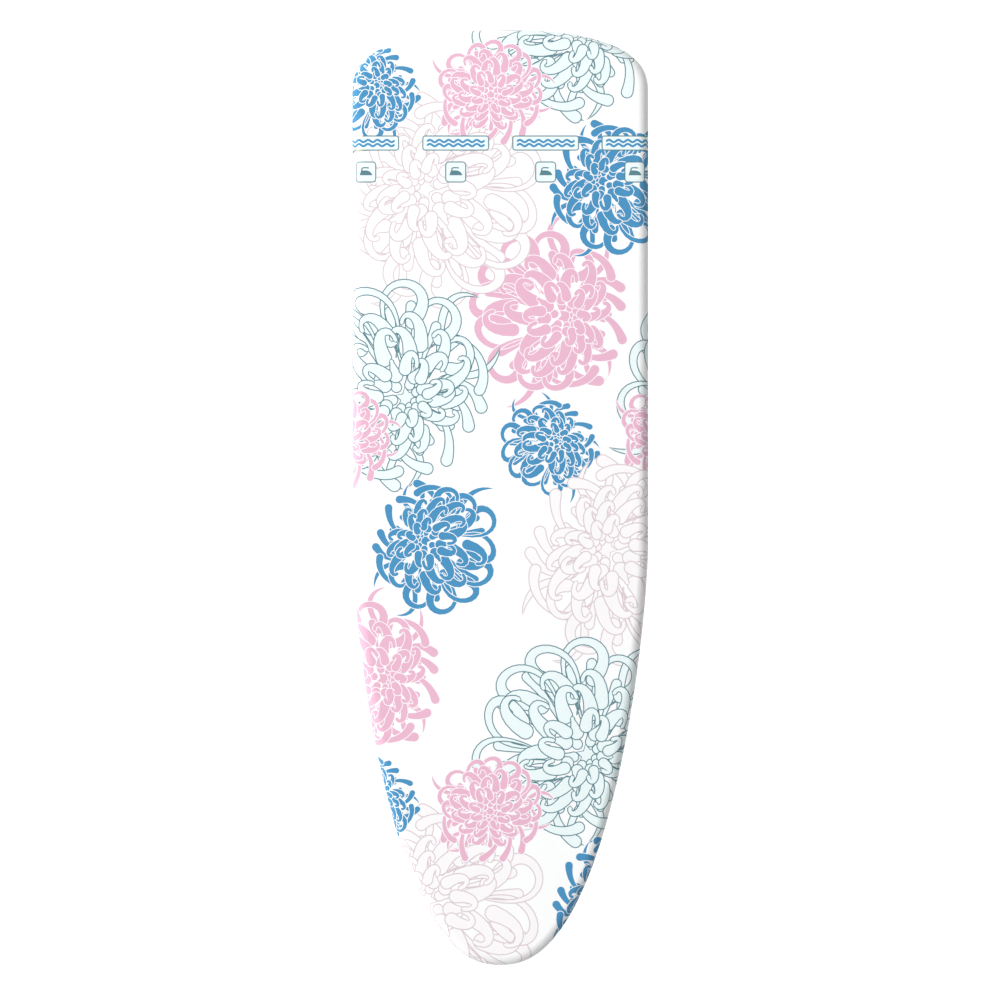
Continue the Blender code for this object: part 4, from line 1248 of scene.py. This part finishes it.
def build_turned_parts():
    for node, body, along, edge in (
            ("hinge_rod", "board", (1, 0, 0), 0.0008), ("guide_rod", "board", (0, 1, 0), 0.0008),
            ("slider_axle", "inner_leg", (1, 0, 0), 0.0008), ("hook_pin", "board", (1, 0, 0), 0.0005),
            ("lever_pin", "release_lever", (1, 0, 0), 0.0006)):
        build_turned(node, body, along, lambda length, radius: rounded_rod(length, radius, edge),
                     "_turned", "zinc_steel", finish="drawn_zinc")
    sides = (("left", -1), ("right", 1))
    for kind, body in (("hinge_cap_", "board"), ("axle_cap_", "inner_leg")):
        for side, sign in sides:
            build_turned(kind + side, body, (sign, 0, 0), cap_profile, "_domed", "grey_plastic")
    for kind, body, bore in (("hinge_spacer_", "board", ROD_BORE), ("pivot_spacer_", "outer_leg", BOLT_BORE)):
        for side, _ in sides:
            build_turned(kind + side, body, (1, 0, 0),
                         lambda length, radius: spacer_profile(length, radius, bore),
                         "_turned", "grey_plastic", True, sides=44)
    for side, sign in sides:
        build_turned("pivot_bolt_" + side, "outer_leg", (-sign, 0, 0), bolt_profile, "_turned",
                     "zinc_steel", sides=36)
        build_turned("pivot_nut_" + side, "outer_leg", (sign, 0, 0), nut_profile, "_hex",
                     "zinc_steel", True, sides=48, hexagon=True, sharp=25)


def add_screw(shape, x, y, top, height):
    """A pan head with a hexagon socket's shadow in its middle, under a face at that height."""
    radius = 0.0030
    profile = [(height * 0.55, 0.0004), (height * 0.55, radius * 0.36), (0.0001, radius * 0.40),
               (0, radius * 0.55), (height * 0.22, radius * 0.84), (height * 0.6, radius), (height, radius),
               (height, 0.0004)]
    shape.add(turned((x, y, top - height), (0, 0, 1), profile, sides=28))


def build_fixings():
    """Rivets through the hinge brackets' flanges, and screws through the guide rod's clamps."""
    shape = Shape()
    for side, sign in (("left", -1), ("right", 1)):
        low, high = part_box("hinge_bracket_" + side)
        inner = low.x if sign > 0 else high.x
        for y in (-0.009, 0.009):
            add_screw(shape, inner + sign * 0.009, centre("hinge_rod").y + y, high.z - 0.0025, 0.0013)
    for node in ("guide_clamp_rear", "guide_clamp_front"):
        low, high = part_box(node)
        for x in (low.x + 0.0045, high.x - 0.0045):
            add_screw(shape, x, (low.y + high.y) / 2, low.z, 0.0014)
    shape.fit("frame_fixings", "board", "zinc_steel")


# ---------------------------------------------------------------- carriage, lever, hook

def copy_of(node, name, material):
    """A CAD node's shape as a new piece to add detail to."""
    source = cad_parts[node].data
    points = [tuple(v.co) for v in source.vertices]
    faces = [tuple(p.vertices) for p in source.polygons]
    copy = add_mesh(name, points, faces, material, 35)
    mesh = bmesh.new()
    mesh.from_mesh(copy.data)
    bmesh.ops.remove_doubles(mesh, verts=mesh.verts, dist=1e-6)
    bmesh.ops.dissolve_limit(mesh, angle_limit=math.radians(1), verts=mesh.verts, edges=mesh.edges)
    mesh.to_mesh(copy.data)
    mesh.free()
    copy.data.set_sharp_from_angle(angle=math.radians(35))
    return copy


def rounded(node, name, body, finish, width, segments=3):
    """A CAD node's shape with rounded edges, in the node's place."""
    return place(soften(copy_of(node, name, FINISH[finish]), width, segments, 40), body, finish, node)


def block(low, high):
    """A box to cut with."""
    corners = [(x, y, z) for z in (low[2], high[2]) for y in (low[1], high[1]) for x in (low[0], high[0])]
    faces = [(0, 2, 3, 1), (4, 5, 7, 6), (0, 1, 5, 4), (2, 6, 7, 3), (0, 4, 6, 2), (1, 3, 7, 5)]
    return add_mesh("block", corners, faces, FINISH["blue_plastic"])


def boss_profile(radius, bore):
    """A low round boss with a chamfered bore, let into the face that it stands on."""
    return [(-0.0005, radius + 0.0006), (0.0004, radius), (0.0012, radius - 0.0003),
            (0.0014, radius - 0.0009), (0.0014, bore + 0.0004), (0.0010, bore), (-0.0005, bore)]


def build_carriage():
    """The sliding moulding: weight-saving pockets in its flanks, bosses and a wear collar."""
    low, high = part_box("carriage_housing")
    axle, pin = centre("slider_axle"), centre("lever_pin")
    body = copy_of("carriage_housing", "carriage_body", FINISH["blue_plastic"])
    flanks = ((-1, low.x), (1, high.x))
    for sign, face in flanks:
        floor = face - sign * POCKET_DEPTH
        for start, end in ((low.y + 0.0045, axle.y - 0.0100), (pin.y + 0.0080, high.y - 0.0035)):
            if end - start > 0.003:
                cut(body, block((min(face, floor), start, low.z + 0.006),
                                (max(face + sign * 0.001, floor), end, high.z - 0.006)))
    soften(body, 0.0007, 2)
    place(body, "carriage", "blue_plastic", "carriage_housing")
    trim = Shape()
    for sign, face in flanks:
        for spot, bore, radius in ((axle, 0.0056, 0.0084), (pin, 0.0033, 0.0056)):
            trim.add(turned((face, spot.y, spot.z), (sign, 0, 0), boss_profile(radius, bore)), True)
    collar = [(-0.0005, 0.0092), (0.0006, 0.0088), (0.0014, 0.0082), (0.0016, 0.0074), (0.0016, 0.0060),
              (0.0010, 0.0055), (-0.0005, 0.0055)]
    for sign, face in ((-1, low.y), (1, high.y)):
        trim.add(turned((0, face, centre("guide_rod").z), (0, sign, 0), collar), True)
    trim.fit("carriage_bosses", "carriage", "blue_plastic")


def build_lever_ribs(pin):
    """Raised ribs along the lever's arms, a disc round its pin and the spring's arbor."""
    arm = centre("lever_grip") - pin
    arms = [abs(v.co.x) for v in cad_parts["release_lever"].data.vertices if (v.co - pin).length < 0.04]
    disc = [(-0.0004, 0.0060), (0.0005, 0.0060), (0.0009, 0.0054), (0.0009, 0.0033), (-0.0004, 0.0033)]
    arbor = [(-0.0004, 0.0043), (0.0055, 0.0043), (0.0060, 0.0040), (0.0060, 0.0033), (-0.0004, 0.0033)]
    swell = np.array((0.0006, 0.0014, *[0.0016] * 5, 0.0014, 0.0006))
    ribs = Shape()
    for sign, profile in ((-1, disc), (1, arbor)):
        start = np.array((sign * max(arms), pin.y, pin.z))
        path = [start + np.array((0, arm.y, arm.z)) * t for t in np.linspace(0.14, 0.86, 9)]
        ribs.add(swept(path, swell, 10, False, (1, 0, 0)))
        ribs.add(turned(start, (sign, 0, 0), profile, sides=32), True)
    ribs.fit("lever_ribs", "release_lever", "blue_plastic", sharp=45)


def grip_profile(length, radius):
    """A soft sleeve with seven swellings and rounded ends."""
    ridges, bore = 7, 0.0065
    at = np.linspace(0, 1, 57)
    swell = radius - 0.0008 * (0.5 + 0.5 * np.cos(at * ridges * 2 * math.pi)) ** 2
    swell = swell - 0.0016 * np.maximum(1 - np.minimum(at, 1 - at) / 0.03, 0) ** 2
    return [(0, bore), *[(t * length, r) for t, r in zip(at, swell)], (length, bore)]


def build_lever():
    """The lever's moulded arms, the ridged grip, the plate and the spring."""
    pin = centre("lever_pin")
    rounded("release_lever", "lever_arms", "release_lever", "blue_plastic", 0.0010)
    build_lever_ribs(pin)
    start, length, radius = measure("lever_grip", (1, 0, 0))
    turned_shape(start, (1, 0, 0), grip_profile(length, radius), True).fit(
        "ridged_grip", "release_lever", "rubber", "lever_grip", sharp=50)
    rounded("lock_plate", "lock_plate_stamped", "release_lever", "zinc_steel", 0.0003, 2)
    build_spring(pin)


def build_spring(pin):
    """A torsion spring of round wire, with a straight leg at each end."""
    low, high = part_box("lever_spring")
    wire = 0.0007
    radius = (high.z - low.z) / 2 - wire
    turns, per_turn = 4, 28
    steps = np.arange(turns * per_turn + 1)
    angles = 2 * math.pi * steps / per_turn
    x = low.x + wire + (high.x - low.x - 2 * wire) * steps / steps[-1]
    coil = np.column_stack((x, pin.y + radius * np.cos(angles), pin.z + radius * np.sin(angles)))
    first = [coil[0] - (0, 0, 0.009 * t) for t in (1, 0.66, 0.33)]
    last = [coil[-1] + (0, 0, 0.008 * t) for t in (0.33, 0.66, 1)]
    path = np.concatenate((first, coil, last))
    Shape().add(swept(path, wire, 10, False, (1, 0, 0))).fit(
        "torsion_spring", "release_lever", "zinc_steel", "lever_spring", sharp=None)


def build_brackets():
    """The hook, and the brackets and clamps on the frame."""
    rounded("transport_hook", "hook_moulding", "transport_hook", "blue_plastic", 0.0012)
    for node in ("hook_bracket", "hinge_bracket_left", "hinge_bracket_right"):
        rounded(node, node + "_rounded", "board", "frame_paint", 0.0005)
    for node in ("guide_clamp_rear", "guide_clamp_front"):
        rounded(node, node + "_rounded", "board", "grey_plastic", 0.0008)


# ---------------------------------------------------------------- putting it together

FINISH = {slot: cotton(*COTTON[slot]) for slot in COTTON}
FINISH.update({
    "hem_cotton": cotton("hem_cotton", COTTON[WHITE][1], mapped=False),
    "thread": cotton("sewing_thread", (0.86, 0.87, 0.88), mapped=False),
    # the last number of a cellular finish sets the painted shade in its cells' hollows
    "hem_cord": cellular("elastic_braid", (0.80, 0.80, 0.79), 0.8, 1600, (0.0003, 0.9),
                         (150, 0.72, 0.9), 0.75),
    "foam": cellular("polyether_foam", (0.80, 0.77, 0.68), 0.95, 1100, (0.0004, 1.0),
                     (200, 0.88, 1.0), 0.82),
    "felt": needled_felt("grey_felt", (0.46, 0.47, 0.49)),
    "deck_paint": powder_coat("deck_coating", (0.70, 0.72, 0.74)),
    "frame_paint": powder_coat("frame_coating", (0.80, 0.81, 0.83)),
    "leg_paint": powder_coat("leg_coating", (0.80, 0.81, 0.83)),
    "zinc_steel": zinc_plate("zinc_plating", (0.66, 0.67, 0.70)),
    "drawn_zinc": zinc_plate("drawn_zinc", (0.66, 0.67, 0.70), (0.1, 1, 1)),
    "blue_plastic": moulded_plastic("blue_moulding", (0.062, 0.273, 0.503), 0.42),
    "grey_plastic": moulded_plastic("grey_moulding", (0.23, 0.25, 0.27), 0.48),
    "rubber": soft_rubber("soft_rubber", (0.045, 0.046, 0.05)),
})


def build_fabric():
    wrap = Wrap()
    cover = build_cover(wrap)
    place(cover, "board", "cover_cotton", "cotton_cover")
    tunnel, stitches = build_hem(wrap)


build_fabric()
build_layers()
build_deck()
build_braces(*build_rim())
build_leg("outer_leg", "hinge_rod", ("outer_leg_hinge_sleeve", "outer_leg_cross_tube"),
          (("hinge_rod", SLEEVE_BORE), ("pivot_bolt_left", BOLT_BORE)))
build_leg("inner_leg", "slider_axle", ("inner_leg_cross_tube",),
          (("slider_axle", ROD_BORE), ("pivot_bolt_left", BOLT_BORE)))
build_turned_parts()
build_fixings()
build_carriage()
build_lever()
build_brackets()


# ---------------------------------------------------------------- studio

def staged_floor():
    """A floor that is white where the board's shadow falls too."""
    mesh = bpy.data.meshes.new("floor")
    mesh.from_pydata([(-30, -30, 0), (30, -30, 0), (30, 30, 0), (-30, 30, 0)], [], [(0, 1, 2, 3)])
    floor = bpy.data.objects.new("floor", mesh)
    bpy.context.scene.collection.objects.link(floor)
    mesh.materials.append(Material("floor", (0.35, 0.35, 0.35), 0.9, Emission_Color=(1, 1, 1, 1),
                                   Emission_Strength=FLOOR_GLOW).made)


def studio():
    scene = bpy.context.scene
    scene.view_settings.view_transform = "Standard"
    camera = bpy.data.objects.new("camera", bpy.data.cameras.new("camera"))
    scene.collection.objects.link(camera)
    camera.location = (*CAMERA_OVER, TOP + CAMERA_HEIGHT)
    camera.data.sensor_width = 36
    camera.data.lens = 36 * CAMERA_HEIGHT / VIEW_WIDTH
    scene.camera = camera
    staged_floor()
    world = bpy.data.worlds.new("world")
    scene.world = world
    world.use_nodes = True
    world.node_tree.nodes["Background"].inputs[0].default_value = (1, 1, 1, 1)
    world.node_tree.nodes["Background"].inputs[1].default_value = WORLD_STRENGTH
    light = bpy.data.objects.new("key", bpy.data.lights.new("key", "AREA"))
    light.data.energy = KEY_WATTS
    light.data.size = KEY_SIZE
    light.location = KEY_AT
    light.rotation_euler = (Vector((0, 0, TOP)) - light.location).to_track_quat("-Z", "Y").to_euler()
    scene.collection.objects.link(light)


studio()
